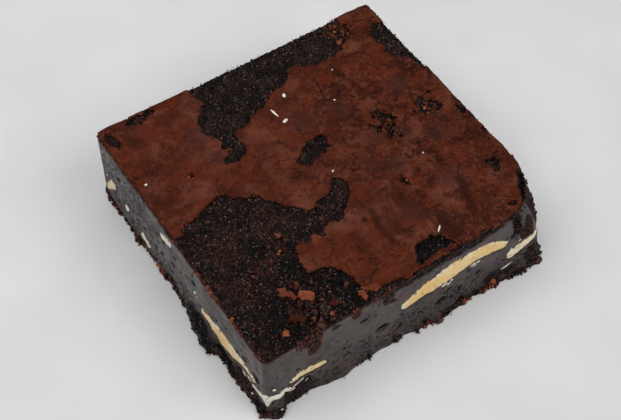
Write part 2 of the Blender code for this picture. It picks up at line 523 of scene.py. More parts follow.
# Each outline is a few corners. Its torn edge comes from CrustMap.
PATCHES = [
    # the long strip along the back, with its tail
    Patch(0.30, [(-12, 36), (-12.5, 31), (-11, 29), (-15, 25), (-16, 21), (-14, 18.5), (-15, 15), (-13, 14.5),
                 (-17.5, 11.5), (-11.5, 10.5), (-10, 14), (-10.5, 18), (-7, 17.5), (-4.5, 19.5), (0, 20.5),
                 (2.5, 23), (7, 23), (9.5, 27), (14, 24), (21, 24), (27, 27.5), (27.5, 31), (24, 36)]),
    # the patch at the right edge
    Patch(0.35, [(31.5, 27), (38, 27), (38, 10), (35, 10), (34, 15), (32, 15.5), (31, 18.5), (29.5, 19),
                 (32, 20), (30.5, 23)]),
    # the large one, front left, with the arm that runs into the middle
    Patch(0.35, [(-38, 0.5), (-33.5, 0.5), (-31.5, 3), (-29, 2.5), (-26, 4), (-21, 5.5), (-19.5, 3),
                 (-14.5, 1), (-13.5, -1.5), (-10.5, -5), (-7.5, -8.5), (-5, -6.5), (-2.5, -7), (0, -4),
                 (2.5, -4), (2, -8), (-1, -11), (-3.5, -13.5), (-7.5, -12.5), (-9.5, -15.5), (-10.5, -13),
                 (-12.5, -14.5), (-15, -13), (-17, -18), (-16.5, -21), (-13.5, -20.5), (-10, -24.5),
                 (-10, -30), (-7.5, -31), (0, -31.5), (0, -38), (-38, -38)]),
    # the hole in the middle
    Patch(0.45, [(-3.5, 3), (-1.5, 5.5), (4, 7.5), (6, 6), (4, 2.5), (1, 2.5), (-1.5, 1)]),
    # the half-moon near the front edge
    Patch(0.80, [(2.5, -31), (4, -27.5), (7, -26), (10, -27), (13, -31), (9, -30), (5.5, -30.5)]),
    # small ones
    Patch(0.45, [(29.5, -18), (32, -17.5), (33, -18.5), (31, -21.5), (29.5, -21), (30.5, -19.5)]),
    Patch(0.35, [(-34, 32.5), (-33, 32.5), (-31.5, 28.5), (-32.5, 27), (-34, 28)]),
    Patch(0.35, [(-29, 32), (-27.5, 33), (-20.5, 32.5), (-24.5, 30.5), (-28, 31)]),
    Patch(0.60, [(27, -29), (28.5, -28.5), (29.5, -29.5), (28, -30)]),
    Patch(0.60, [(25, -32), (26.5, -31), (28, -31.5), (26.5, -32.5)]),
    Patch(0.50, [(17, -34), (17, -32), (18.5, -31), (21, -32.5), (21, -34)]),
    Patch(0.50, [(34, -2), (35, -2), (35, -5), (34, -5)]),
    Patch(0.50, [(34.5, -9.5), (35.5, -9.5), (35, -11.5), (34.5, -11)]),
    # crumbly strip where the front edge has lost its crust
    Patch(0.25, [(-1, -31.5), (5, -32), (12, -31.5), (14, -32.5), (14, -38), (-1, -38)]),
]

# The worn corner: the crust ends on this line and the crumb falls away from it.
WORN = [(38, -23), (34, -23.5), (31.5, -27), (29.5, -31), (28.5, -33), (28.5, -40), (44, -40)]


@dataclass(frozen=True)
class Flake:
    """A scale of crust that is left standing where the rest is gone."""

    lift: float  # how far it stands above the crust's even surface
    pale: float  # how far it is bleached to salmon, from 0 to 1, or darkened, down to -1
    outline: Points


FLAKES = [
    Flake(0.1, 0.4, [(-24, -20), (-22.5, -20.5), (-22, -24), (-24.5, -22)]),
    Flake(0.5, 1.0, [(-21.5, -24), (-20.5, -23), (-18, -25), (-20, -26.5)]),
    Flake(0.2, -0.6, [(-26.5, -27.5), (-24.5, -26), (-22.5, -28.5), (-23.5, -29), (-25, -28)]),
    Flake(0.1, 0.7, [(-11.5, -30), (-10, -29.5), (-10, -31), (-11, -32)]),
    Flake(0.0, 0.3, [(-9, -30), (-7.5, -30), (-7.5, -31.5), (-8.5, -31.5)]),
    Flake(-0.1, 0.3, [(-12, -13), (-10.5, -13), (-10.5, -14.5), (-11.5, -15)]),
    Flake(0.3, 0.3, [(-16.5, 17.5), (-14.5, 17.5), (-14, 16), (-15.5, 16)]),
    Flake(0.0, 0.2, [(-15, 14.5), (-13, 15), (-13, 14), (-14.5, 14)]),
    Flake(0.1, -0.8, [(-17.5, -28.5), (-16, -28), (-15.5, -29), (-16, -30)]),
]

CRATERS = [Crater(18.2, 2.4, 4.1), Crater(18.4, -0.6, 2.8), Crater(29.0, 1.3, 3.8), Crater(12.9, -12.7, 1.4),
           Crater(-24.0, 12.8, 0.9), Crater(25.6, 30.6, 3.0)]

CREASES = [
    Crease(0.30, 0.30, [(13, 21.5), (11.5, 15.5), (12.5, 12.5), (14.5, 11)]),
    Crease(0.22, 0.22, [(-18.5, 11), (-20.5, 8), (-20.5, 6)]),
    Crease(0.20, 0.25, [(1, -10.5), (2, -13.5)]),
    Crease(0.25, 0.25, [(-31, 6.5), (-30.5, 7)]),
    Crease(0.15, 0.9, [(2.5, -15), (1.5, -19), (2, -24)]),
    Crease(0.22, 1.1, [(22.5, -18.5), (21, -24), (20, -26.5)]),
    Crease(0.12, 1.2, [(13.5, -24), (13, -29)]),
    Crease(0.16, 0.3, [(-16, -15), (-13.5, -16)]),
    Crease(0.16, 0.5, [(-8, -29.5), (-6.5, -27.5), (-5, -27)]),
    Crease(0.14, 0.35, [(12.5, 6), (15, 7)]),
    Crease(0.14, 0.3, [(16.5, 10), (17.5, 9.5)]),
    Crease(0.14, 0.3, [(17.5, 16.5), (18.5, 16)]),
    Crease(0.16, 0.3, [(30.5, -6), (31.5, -7)]),
    Crease(0.10, 0.5, [(19.5, 12.5), (24, 13)]),
    Crease(0.10, 0.4, [(16, 9), (16, 6.5), (19.5, 6.5)]),
]


@dataclass(frozen=True)
class CrustMap:
    """Says for each place on top whether crust covers it, and how the crust lies there."""

    block: Block
    thickness: float = 0.45
    ragged: float = 0.42
    worn_slope: float = 1.1  # how steeply the worn corner falls away from the crust

    def cover(self, x: np.ndarray, y: np.ndarray) -> np.ndarray:
        """How far inside the crust each place is.

        Args:
            x: x of the places.
            y: y of the places.

        Returns:
            Millimetres in from the crust's torn edge, negative where the crumb lies open.
        """
        flat = rows(x, y, 0.0)
        torn = self.ragged * (perlin(flat, 2.2, seed=1) + perlin(flat, 1.0, 2, seed=2))
        torn += 0.30 * perlin(flat, 0.5, seed=14)
        cover = np.full(x.shape, 9.0)
        for patch in PATCHES:
            cover = np.minimum(cover, -depth_inside(x, y, rounded(patch.outline, 1)))
        for flake in FLAKES:
            cover = np.maximum(cover, depth_inside(x, y, flake.outline) + 0.3 * perlin(flat, 0.8, seed=13))
        cover = np.minimum(cover, -depth_inside(x, y, WORN)) + torn
        scales = 1.9 * perlin(flat, 1.4, seed=3) + 1.2 * perlin(flat, 0.7, seed=4)
        for crater in CRATERS:
            away = np.hypot(x - crater.x, y - crater.y) / crater.radius
            cover = np.minimum(cover, scales - 0.45 + 1.7 * away ** 3)
        return cover

    def open_depth(self, x: np.ndarray, y: np.ndarray, cover: np.ndarray) -> np.ndarray:
        """How far the crumb lies below the crust's underside where the crust is gone."""
        depth = np.full(x.shape, 0.35)
        for patch in PATCHES:
            inside = depth_inside(x, y, patch.outline) > -0.6
            depth = np.where(inside, patch.depth, depth)
        worn = np.maximum(depth_inside(x, y, WORN), 0.0)
        return depth * smoothstep(0.1, -0.7, cover) + np.minimum(self.worn_slope * worn, 2.6)

    def marks(self, x: np.ndarray, y: np.ndarray) -> dict[str, np.ndarray]:
        """Creases, stains and painted shade of the crust, as numbers from 0 to 1.

        Args:
            x: x of the places.
            y: y of the places.

        Returns:
            "crease_shade" is 1 in the bottom of a narrow fold, where painted shade darkens it;
            "stain_and_shade" is 1 in the dark soft bands, painted shade in the shallow hollows of the wide
            creases, and on the darkened flakes; "bloom" is 1 in the pale grey haze round the craters, "pale" is
            1 on the bleached flakes, and
            "wrinkled" is 1 where the crust is rough.
        """
        crease_shade = np.zeros(x.shape)
        stain_and_shade = np.zeros(x.shape)
        for fold in CREASES:
            away = distance_to_line(x, y, fold.line)
            mark = np.exp(-((away / fold.width) ** 2))
            # Narrow creases get painted shade in their bottoms; wide shallow ones become soft dark bands of
            # painted shade.
            if fold.width < 0.45:
                crease_shade = np.maximum(crease_shade, mark * min(1.0, fold.depth / 0.2))
            else:
                stain_and_shade = np.maximum(stain_and_shade, mark)
        bloom = np.zeros(x.shape)
        for cx, cy, radius in BLOOMS:
            bloom = np.maximum(bloom, np.exp(-((np.hypot(x - cx, y - cy) / radius) ** 2)))
        pale = np.zeros(x.shape)
        for flake in FLAKES:
            there = depth_inside(x, y, flake.outline) > -0.7
            pale = np.where(there, max(flake.pale, 0.0), pale)
            stain_and_shade = np.where(there, max(-1.3 * flake.pale, 0.0), stain_and_shade)
        return {"crease_shade": crease_shade, "stain_and_shade": stain_and_shade, "bloom": bloom, "pale": pale,
                "wrinkled": self.wrinkled(x, y)}

    def wrinkled(self, x: np.ndarray, y: np.ndarray) -> np.ndarray:
        """How wrinkled the crust is: it is smooth to the left and rough to the front right."""
        return smoothstep(-4.0, 12.0, x - 0.5 * np.maximum(y - 6.0, 0.0))

    def relief(self, x: np.ndarray, y: np.ndarray) -> np.ndarray:
        """Height of the crust's surface above its even swell."""
        flat = rows(x, y, 0.0)
        crusty = self.wrinkled(x, y)
        height = 0.14 * perlin(flat, 8.0, seed=5) + 0.09 * perlin(flat, 2.8, 2, seed=6)
        height += (0.04 + 0.11 * crusty) * perlin(flat, 1.2, 2, seed=7)
        for fold in CREASES:
            away = distance_to_line(x, y, fold.line)
            height -= fold.depth * np.exp(-((away / fold.width) ** 2))
            height += 0.35 * fold.depth * np.exp(-((away / fold.width - 2.2) ** 2))
        for cx, cy, radius, lift in BLISTERS:
            height += lift * np.exp(-((np.hypot(x - cx, y - cy) / radius) ** 4))
        for crater in CRATERS:
            away = np.hypot(x - crater.x, y - crater.y) / crater.radius
            height += (0.55 * perlin(flat, 1.3, 2, seed=11) - 0.1) * np.exp(-(away ** 4))
        for flake in FLAKES:
            height += flake.lift * (depth_inside(x, y, flake.outline) > -0.7)
        return height


def soft_spots(x: np.ndarray, y: np.ndarray, spots: list[tuple[float, float, float, float]]) -> np.ndarray:
    """Soft round spots on top.

    Args:
        x: x of the places.
        y: y of the places.
        spots: x, y, radius and strength of each.

    Returns:
        The strongest spot at each place, with wavering borders.
    """
    waver = perlin(rows(x, y, 0.0), 3.0, 2, seed=12)
    total = np.zeros(x.shape)
    for cx, cy, radius, strength in spots:
        away = np.hypot(x - cx, y - cy) / radius
        total = np.maximum(total, strength * smoothstep(1.3, 0.6, away + 0.5 * waver))
    return total


# (x, y, radius, strength) of the places painted black in the open crumb, partly moist crumb and partly
# painted shade in its hollows, and of the browner ones.
WET_AND_SHADE_SPOTS = [(-22.2, -9.7, 2.4, 0.9), (-19.4, -17.2, 2.6, 0.9), (-25.5, -23.5, 2.6, 0.9), (8, -28.5, 6, 1.0), (-13, -28, 5, 0.9), (-20, -20, 5, 0.6), (-27, -29, 5, 0.6), (28, -30, 4, 0.8),
             (18, -32, 3, 1.0), (-3, -9, 3, 0.3), (-6, 24, 4, 0.3)]
BROWN_SPOTS = [(-27, -5, 5.5, 0.8), (-22, -12, 5, 0.6), (-16, -5, 4, 0.6), (-29, -16, 3.5, 0.5),
               (-21, -25.5, 3.2, 0.8), (-23, 29, 5, 0.7), (24.5, 30, 3.5, 0.9), (-5, -10, 3, 0.4),
               (-33, 29, 3, 0.5)]

BLOOMS = [(14.2, 0.2, 2.4), (9.2, -5.2, 2.2), (13.6, -8.0, 2.8), (26.5, -6.0, 3.0), (8.5, -19.6, 3.0),
          (21.5, -17.5, 3.4), (12.4, 10.6, 2.6), (26.8, 9.6, 3.0), (3.6, 13.0, 3.4), (-16.5, 14.0, 2.4),
          (-18.0, 21.5, 3.0), (29.5, -2.4, 2.0), (20.0, -2.6, 2.0)]
BLISTERS = [(-28.6, 16.6, 2.4, 0.22), (-15.3, 31.8, 1.9, 0.10), (25.0, -10.4, 0.8, 0.12), (6.0, 4.0, 4.4, 0.05),
            (19.0, -12.2, 3.2, 0.14), (27.0, 16.2, 1.1, 0.14), (15.8, -18.6, 0.8, 0.12),
            (31.5, -7.6, 2.4, 0.16), (10.5, 6.0, 3.6, 0.10), (-17.0, 6.0, 3.4, 0.10), (23.2, 16.0, 3.0, 0.1)]


@dataclass
class Crust:
    """The thin baked skin on top, torn away in places."""

    block: Block
    map: CrustMap
    cell: float = 0.36
    curl: float = 0.30  # how far the torn edge stands up where it has come loose
    overhang: float = 0.05  # how far inside the cut the crust ends

    def build(self) -> bpy.types.Object:
        """Make the crust's mesh."""
        across = np.linspace(0.0, 1.0, round(self.block.width / self.cell) + 1)
        up = np.linspace(0.0, 1.0, round(self.block.depth / self.cell) + 1)
        u, v = np.meshgrid(across, up, indexing="ij")
        flat = self.block.points(u.ravel(), v.ravel(), np.ones(u.size))
        inset = np.minimum.reduce([u * self.block.width, (1 - u) * self.block.width,
                                   v * self.block.depth, (1 - v) * self.block.depth]).ravel()
        chipped = 0.22 * np.maximum(perlin(flat, 2.2, 2, seed=8), -0.4)
        cover = np.minimum(self.map.cover(flat[:, 0], flat[:, 1]), inset - self.overhang - chipped - 0.09)
        sheet = ClippedSheet(across, up, cover.reshape(u.shape))
        spots = sheet.clip()
        return self.close(sheet, spots)

    def close(self, sheet: ClippedSheet, spots: np.ndarray) -> bpy.types.Object:
        """Lay the clipped sheet on the crumb.

        Args:
            sheet: the clipped sheet.
            spots: its points, as shares of the width and the depth, with how far inside they are.

        Returns:
            The crust as a closed plate.
        """
        places = self.block.points(spots[:, 0], spots[:, 1], np.ones(len(spots)))
        x, y = places[:, 0], places[:, 1]
        inside = spots[:, 2]
        level = self.block.height + self.block.swell(x, y) + self.map.relief(x, y)
        loose = np.maximum(perlin(rows(x, y, 0.0), 6.0, seed=9) + 0.1, 0.0)
        level += self.curl * loose * np.exp(-inside / 0.9)
        rough = 0.03 * perlin(rows(x, y, 0.0), 0.6, seed=10)
        upper = rows(x, y, np.minimum(level + rough, self.block.ceiling))
        lower = rows(x, y, level - self.map.thickness)
        marks = self.map.marks(x, y)
        marks["edge"] = np.exp(-inside / 0.35)
        return sheet.solid("crust", upper, lower, marks)


# ---------------------------------------------------------------------------------------------------
# White chocolate at the cut sides
# ---------------------------------------------------------------------------------------------------

@dataclass(frozen=True)
class Chunk:
    """A piece of white chocolate that the knife laid open, as a stroke of changing thickness."""

    node: str
    side: Side
    # the stroke's stations: place along the side, which may run on round the corner, height, half thickness
    spine: list[tuple[float, float, float]]
    proud: float = 0.18  # how far its middle stands out of the crumb
    paleness: float = 0.3  # 0 is yellow cream, 1 is chalky

    def amount(self, along: np.ndarray, height: np.ndarray) -> np.ndarray:
        """How far inside the chunk each place is, negative outside it."""
        amount = np.full(np.shape(along), -99.0)
        for (ax, az, thin), (bx, bz, thick) in zip(self.spine[:-1], self.spine[1:]):
            ex, ez = bx - ax, bz - az
            share = np.clip(((along - ax) * ex + (height - az) * ez) / (ex * ex + ez * ez), 0.0, 1.0)
            away = np.hypot(along - ax - share * ex, height - az - share * ez)
            amount = np.maximum(amount, thin + (thick - thin) * share - away)
        return amount

    def inside(self, block: Block, way: np.ndarray, height: np.ndarray) -> np.ndarray:
        """How far inside the chunk each place of the sides is."""
        return self.amount(block.along(self.side, way), height)


CHUNKS = [
    Chunk("chunk_front_large", Side.FRONT,
          [(-1, 11.5, 1.2), (3.5, 13.5, 2), (10, 14.5, 2.7), (16, 15, 2.1), (20.5, 14.5, 1.8), (24, 13, 1.1)],
          0.22, 0.05),
    Chunk("chunk_right_corner", Side.FRONT,
          [(26.5, 8, 1.5), (30, 9, 1.2), (33, 10, 0.7), (36, 11, 0.6), (39, 12.5, 0.5)], 0.2, 0.6),
    Chunk("chunk_front_small", Side.FRONT,
          [(-28.5, 7.5, 0.6), (-26.5, 8.5, 1), (-23.5, 8, 0.9), (-21, 8, 0.6)], 0.15, 0.15),
    Chunk("chunk_left_corner", Side.LEFT,
          [(-28, 6, 0.4), (-32, 7, 0.9), (-32.5, 4, 0.3), (-33, 6.5, 0.9), (-35.5, 6.5, 0.8), (-38, 5, 0.6)],
          0.15, 0.9),
    Chunk("chunk_left_large", Side.LEFT,
          [(-10, 9, 1), (-13, 9.5, 1.1), (-16.5, 8, 2.5), (-20, 8.5, 2), (-24, 9.5, 0.9), (-27, 9.5, 0.8),
           (-28.5, 8.5, 0.4)], 0.24, 0.2),
    Chunk("chip_left_1", Side.LEFT, [(32, 3.5, 0.5), (30.5, 6, 1), (28.5, 8.5, 1.3)], 0.15, 0.35),
    Chunk("chip_left_2", Side.LEFT, [(23, 6, 0.7), (22.5, 7, 0.8)], 0.12, 0.95),
    Chunk("chip_left_3", Side.LEFT, [(14, 3.5, 1), (16, 4, 1.1)], 0.12, 0.95),
    Chunk("chip_left_4", Side.LEFT, [(6, 16, 1), (3.5, 17, 1.1)], 0.12, 0.95),
    Chunk("chunk_back_large", Side.BACK,
          [(-15, 9.5, 0.9), (-11, 10, 1.8), (-6, 10.5, 1.6), (-1.5, 10, 0.7)], 0.2, 0.25),
    Chunk("chip_back", Side.BACK, [(18, 12.5, 0.7), (20.5, 14, 0.9)], 0.12, 0.9),
    Chunk("chunk_right_large", Side.RIGHT,
          [(3.5, 11, 0.5), (7, 11.5, 1.1), (11, 11.5, 1.3), (14.5, 11, 0.5)], 0.18, 0.3),
    Chunk("chip_right", Side.RIGHT, [(-12.5, 6, 0.7), (-10.5, 5.5, 0.5)], 0.12, 0.8),
]


@dataclass
class WhiteChocolateChunks:
    """Builds each chunk as a low waxy plate set in the crumb."""

    block: Block
    cell: float = 0.22
    depth: float = 1.1  # how far a plate reaches into the crumb
    shoulder: float = 0.35  # width over which its face curves down into the crumb

    def build(self, chunk: Chunk) -> bpy.types.Object:
        """Make one chunk.

        Args:
            chunk: the chunk's form and looks.

        Returns:
            The closed plate.
        """
        spine = np.array(chunk.spine)
        margin = spine[:, 2].max() + 0.5
        low = spine[:, :2].min(axis=0) - margin
        high = spine[:, :2].max(axis=0) + margin
        across = np.arange(low[0], high[0] + self.cell, self.cell)
        up = np.arange(low[1], high[1] + self.cell, self.cell)
        x, z = np.meshgrid(across, up, indexing="ij")
        flat = rows(x.ravel(), z.ravel(), 3.0 * len(chunk.node))
        amount = chunk.amount(x.ravel(), z.ravel())
        amount = amount + 0.24 * perlin(flat, 0.9, 2, seed=21)
        amount = amount.reshape(x.shape)
        amount[0, :] = amount[-1, :] = -1.0
        amount[:, 0] = amount[:, -1] = -1.0
        mirrored = chunk.side in (Side.LEFT, Side.BACK)
        if mirrored:
            across, amount = -across[::-1], amount[::-1]
        sheet = ClippedSheet(across, up, amount)
        spots = sheet.clip()
        along = -spots[:, 0] if mirrored else spots[:, 0]
        way = self.block.way_round(chunk.side, along)
        return self.close(chunk, sheet, spots, way)

    def close(self, chunk: Chunk, sheet: ClippedSheet, spots: np.ndarray, way: np.ndarray) -> bpy.types.Object:
        """Set the clipped sheet into the cut side.

        Args:
            chunk: the chunk.
            sheet: its clipped sheet.
            spots: the sheet's points.
            way: the way round of each point.

        Returns:
            The closed plate.
        """
        inside = spots[:, 2]
        flat = rows(spots[:, 0], spots[:, 1], 5.0)
        dome = 1.0 - np.exp(-inside / self.shoulder)
        ripple = 0.07 * perlin(flat, 2.4, 2, seed=22) + 0.03 * perlin(flat, 0.8, seed=23)
        out = -0.05 + (chunk.proud + ripple) * dome
        upper = self.block.off_side(way, spots[:, 1], out)
        lower = self.block.off_side(way, spots[:, 1], -self.depth)
        marks = {"edge": np.exp(-inside / 0.5), "pale": np.full(len(spots), chunk.paleness)}
        return sheet.solid("white_" + chunk.node, upper, lower, marks)


# ---------------------------------------------------------------------------------------------------
# The crumb
# ---------------------------------------------------------------------------------------------------

@dataclass(frozen=True)
class Hollow:
    """A pore or gouge in a cut side, or a lump on it where the depth is negative."""

    side: Side
    along: float
    height: float
    half_length: float
    half_height: float
    depth: float


GOUGES = [
    Hollow(Side.FRONT, -6.6, 7.8, 1.2, 0.7, 2.2),
    Hollow(Side.FRONT, 8.0, 5.6, 1.2, 0.65, 1.6),
    Hollow(Side.FRONT, 17.9, 8.0, 0.5, 0.4, 0.6),
    Hollow(Side.FRONT, 10.0, 8.2, 0.6, 0.35, 0.5),
    Hollow(Side.FRONT, -2.2, 4.6, 0.7, 0.4, 0.5),
    Hollow(Side.FRONT, 27.7, 16.8, 0.9, 2.6, 1.3),
    Hollow(Side.FRONT, 28.6, 19.2, 1.1, 1.4, 1.2),
    Hollow(Side.FRONT, 26.6, 14.2, 0.7, 0.8, 0.7),
    Hollow(Side.FRONT, -11.5, 15.2, 0.9, 0.4, 0.4),
    Hollow(Side.FRONT, -18.3, 18.9, 0.9, 0.5, 0.35),
    Hollow(Side.FRONT, 13.0, 6.4, 0.6, 0.35, 0.5),
    Hollow(Side.LEFT, -25.0, 12.2, 0.8, 0.5, 0.5),
    Hollow(Side.LEFT, -6.3, 15.0, 0.7, 0.6, 0.5),
    Hollow(Side.LEFT, -29.2, 10.6, 0.9, 1.0, 0.8),
    Hollow(Side.LEFT, 2.7, 10.2, 0.8, 0.45, 0.5),
    Hollow(Side.LEFT, 24.8, 14.6, 0.5, 0.6, 0.5),
    Hollow(Side.LEFT, -17.6, 2.6, 3.2, 1.2, 1.0),
    Hollow(Side.LEFT, -23.4, 4.4, 2.4, 0.9, 0.8),
    Hollow(Side.LEFT, -7.6, 2.2, 4.0, 2.0, -0.9),
    Hollow(Side.LEFT, -12.4, 2.4, 1.8, 1.8, -0.8),
    Hollow(Side.LEFT, -21.2, 1.4, 1.5, 1.2, -0.7),
    Hollow(Side.LEFT, -25.6, 2.0, 1.4, 1.4, -0.5),
    Hollow(Side.FRONT, -30.6, 1.6, 1.8, 1.4, -0.6),
    Hollow(Side.FRONT, -25.4, 3.4, 2.2, 0.8, -0.5),
    Hollow(Side.FRONT, 32.6, 3.2, 1.6, 2.2, -0.5),
    Hollow(Side.FRONT, -5.2, 18.4, 0.9, 1.6, -0.35),
]


@dataclass(frozen=True)
class Spot:
    """A place on a cut side where the cake is torn or smeared brown."""

    side: Side
    along: float
    height: float
    half_length: float
    half_height: float
    torn: float
    warm: float


SPOTS = [
    Spot(Side.FRONT, 31.0, 14.2, 3.2, 3.6, 1.0, 0.8),
    Spot(Side.FRONT, 27.6, 17.4, 1.3, 3.4, 1.0, 0.0),
    Spot(Side.FRONT, 36.0, 16.6, 2.2, 5.6, 1.0, 0.5),
    Spot(Side.FRONT, 40.6, 16.2, 1.6, 6.5, 1.0, 0.1),
    Spot(Side.FRONT, 45.0, 18.0, 2.4, 3.6, 0.9, 0.3),
    Spot(Side.FRONT, 16.2, 20.0, 2.0, 1.3, 1.0, 0.0),
    Spot(Side.FRONT, -24.2, 19.2, 2.8, 2.0, 0.8, 1.0),
    Spot(Side.FRONT, -23.4, 15.9, 1.4, 2.2, 0.7, 1.0),
    Spot(Side.FRONT, -13.4, 19.4, 0.9, 1.8, 0.7, 1.0),
    Spot(Side.FRONT, -5.4, 18.4, 1.5, 2.2, 0.8, 0.9),
    Spot(Side.FRONT, -27.4, 3.2, 4.6, 2.6, 0.9, 0.4),
    Spot(Side.FRONT, -33.6, 1.4, 2.8, 2.6, 1.0, 0.3),
    Spot(Side.FRONT, 33.0, 4.0, 3.0, 3.6, 0.9, 0.4),
    Spot(Side.FRONT, 24.0, 3.0, 5.0, 1.6, 0.7, 0.1),
    Spot(Side.LEFT, -9.0, 2.6, 6.0, 3.4, 1.0, 0.0),
    Spot(Side.LEFT, -18.0, 2.4, 4.5, 2.2, 1.0, 0.1),
    Spot(Side.LEFT, -25.0, 3.6, 4.5, 2.6, 1.0, 0.4),
    Spot(Side.LEFT, -31.0, 2.4, 2.5, 1.8, 1.0, 0.2),
    Spot(Side.LEFT, -28.9, 11.0, 0.8, 1.3, 0.8, 0.9),
    Spot(Side.LEFT, -22.4, 11.6, 0.8, 0.6, 0.8, 0.9),
]


@dataclass
class Crumb:
    """The cake itself, as one fine closed skin: torn and grainy where open, smeared smooth where cut."""

    block: Block
    map: CrustMap
    cell: float = 0.355
    under_crust: float = 0.35  # how far below the crust's face the crumb starts
    grain: float = 0.32
    pocket: float = 0.85
    pores: int = 230
    torn_share: float = 0.5  # faces that are more torn than this get the torn finish
    points: np.ndarray = None
    faces: list = None

    def spaced(self, span: float) -> np.ndarray:
        """Places across a span, closer on the rounded rims, as shares of it."""
        rim = self.block.rim
        count = round((span - 2.0 * rim) / self.cell)
        edge = rim * np.array([0.0, 0.12, 0.35, 0.65])
        inner = np.linspace(rim, span - rim, count + 1)
        return np.concatenate([edge, inner, span - edge[::-1]]) / span

    def lattice(self) -> dict[str, np.ndarray]:
        """Lay the even skin: the top as a grid and the sides as rings below its border.

        Returns:
            "top" is True for the points on top, "way" is the way round of the points of the sides, and
            "height" is their height.
        """
        us = self.spaced(self.block.width)
        vs = self.spaced(self.block.depth)
        levels = round((self.block.height - self.block.rim) / self.cell)
        nu, nv = len(us), len(vs)
        u, v = (grid.ravel() for grid in np.meshgrid(us, vs, indexing="ij"))
        number = np.arange(nu * nv).reshape(nu, nv)
        ring = np.concatenate([number[:-1, 0], number[-1, :-1], number[:0:-1, -1], number[0, :0:-1]])
        count = len(ring)
        heights = np.arange(levels) / levels
        all_u = np.concatenate([u, np.tile(u[ring], levels)])
        all_v = np.concatenate([v, np.tile(v[ring], levels)])
        all_w = np.concatenate([np.ones(u.size), np.repeat(heights, count)])
        self.points = self.block.points(all_u, all_v, all_w)
        a, b = number[:-1, :-1].ravel(), number[1:, :-1].ravel()
        c, d = number[1:, 1:].ravel(), number[:-1, 1:].ravel()
        faces = list(zip(a.tolist(), b.tolist(), c.tolist(), d.tolist()))
        rings = [nu * nv + level * count + np.arange(count) for level in range(levels)] + [ring]
        for low, high in zip(rings[:-1], rings[1:]):
            onward, above = np.roll(low, -1), np.roll(high, -1)
            faces += zip(low.tolist(), onward.tolist(), above.tolist(), high.tolist())
        faces.append(tuple(rings[0][::-1].tolist()))
        self.faces = faces
        on_top = np.arange(len(self.points)) < nu * nv
        stops = np.cumsum([0.0, self.block.width, self.block.depth, self.block.width, self.block.depth])
        border_u, border_v = all_u * self.block.width, all_v * self.block.depth
        way = np.select([all_v == 0.0, all_u == 1.0, all_v == 1.0],
                        [border_u, stops[1] + border_v, stops[3] - border_u], stops[4] - border_v)
        return {"top": on_top, "way": way, "height": all_w * (self.block.height - self.block.rim)}

    def hollows(self) -> list[Hollow]:
        """The gouges, and pores strewn over all the sides."""
        random = np.random.default_rng(SEED)
        strewn = list(GOUGES)
        sides = list(Side)
        spans = {Side.FRONT: (-34, 34), Side.BACK: (-34, 34), Side.LEFT: (-31, 32), Side.RIGHT: (-31, 32)}
        for _ in range(self.pores):
            side = sides[random.integers(4)]
            along = random.uniform(*spans[side])
            height = random.uniform(1.5, 20.0) * random.uniform(0.75, 1.0)
            size = 0.18 + 0.22 * random.random() ** 3.0
            strewn.append(Hollow(side, along, height, size * random.uniform(0.9, 1.8),
                                 size * random.uniform(0.7, 1.2), size * random.uniform(1.2, 1.8)))
        return strewn

    def torn_sides(self, way: np.ndarray, height: np.ndarray) -> tuple[np.ndarray, np.ndarray]:
        """How torn and how brown the sides are.

        Args:
            way: the way round.
            height: the height.

        Returns:
            Numbers from 0, smeared smooth and grey, to 1, crumbly, and from 0, black, to 1, red-brown.
        """
        places = rows(way, height, 40.0)
        wander = perlin(places, 4.0, 3, seed=31)
        foot = smoothstep(2.6, 0.6, height + 1.6 * wander)
        top = smoothstep(20.2, 20.9, height + 0.5 * wander)
        front = self.block.along(Side.FRONT, way)
        foot *= 1.0 - 0.85 * smoothstep(-25.0, -21.0, front) * smoothstep(4.0, 1.0, front)
        strip = smoothstep(-9.0, -6.0, front) * smoothstep(25.0, 22.0, front)
        ragged_top = strip * smoothstep(19.0, 19.9, height + 1.0 * wander)
        edge = 0.9 * smoothstep(19.2, 20.6, height + 0.9 * wander)
        torn = np.maximum.reduce([foot, top, ragged_top])
        warm = np.maximum(edge * (1.0 - 0.6 * strip), 0.6 * foot * smoothstep(-0.1, 0.4, wander))
        for spot in SPOTS:
            along = self.block.along(spot.side, way)
            away = (((along - spot.along) / spot.half_length) ** 2
                    + ((height - spot.height) / spot.half_height) ** 2)
            share = smoothstep(1.35, 0.65, away + 1.1 * wander)
            torn = np.maximum(torn, spot.torn * share)
            warm = np.maximum(warm, spot.warm * share)
        return torn, warm

    def shape_sides(self, known: dict[str, np.ndarray], normals: np.ndarray) -> dict[str, np.ndarray]:
        """Press pores, gouges, pockets and crumbliness into the sides.

        Args:
            known: what lattice() gave.
            normals: the outward normal at each point.

        Returns:
            "torn", "warm", "pit" and "porous" for all points.
        """
        side = ~known["top"]
        way, height = known["way"][side], known["height"][side]
        even = self.points[side]
        torn, warm = self.torn_sides(way, height)
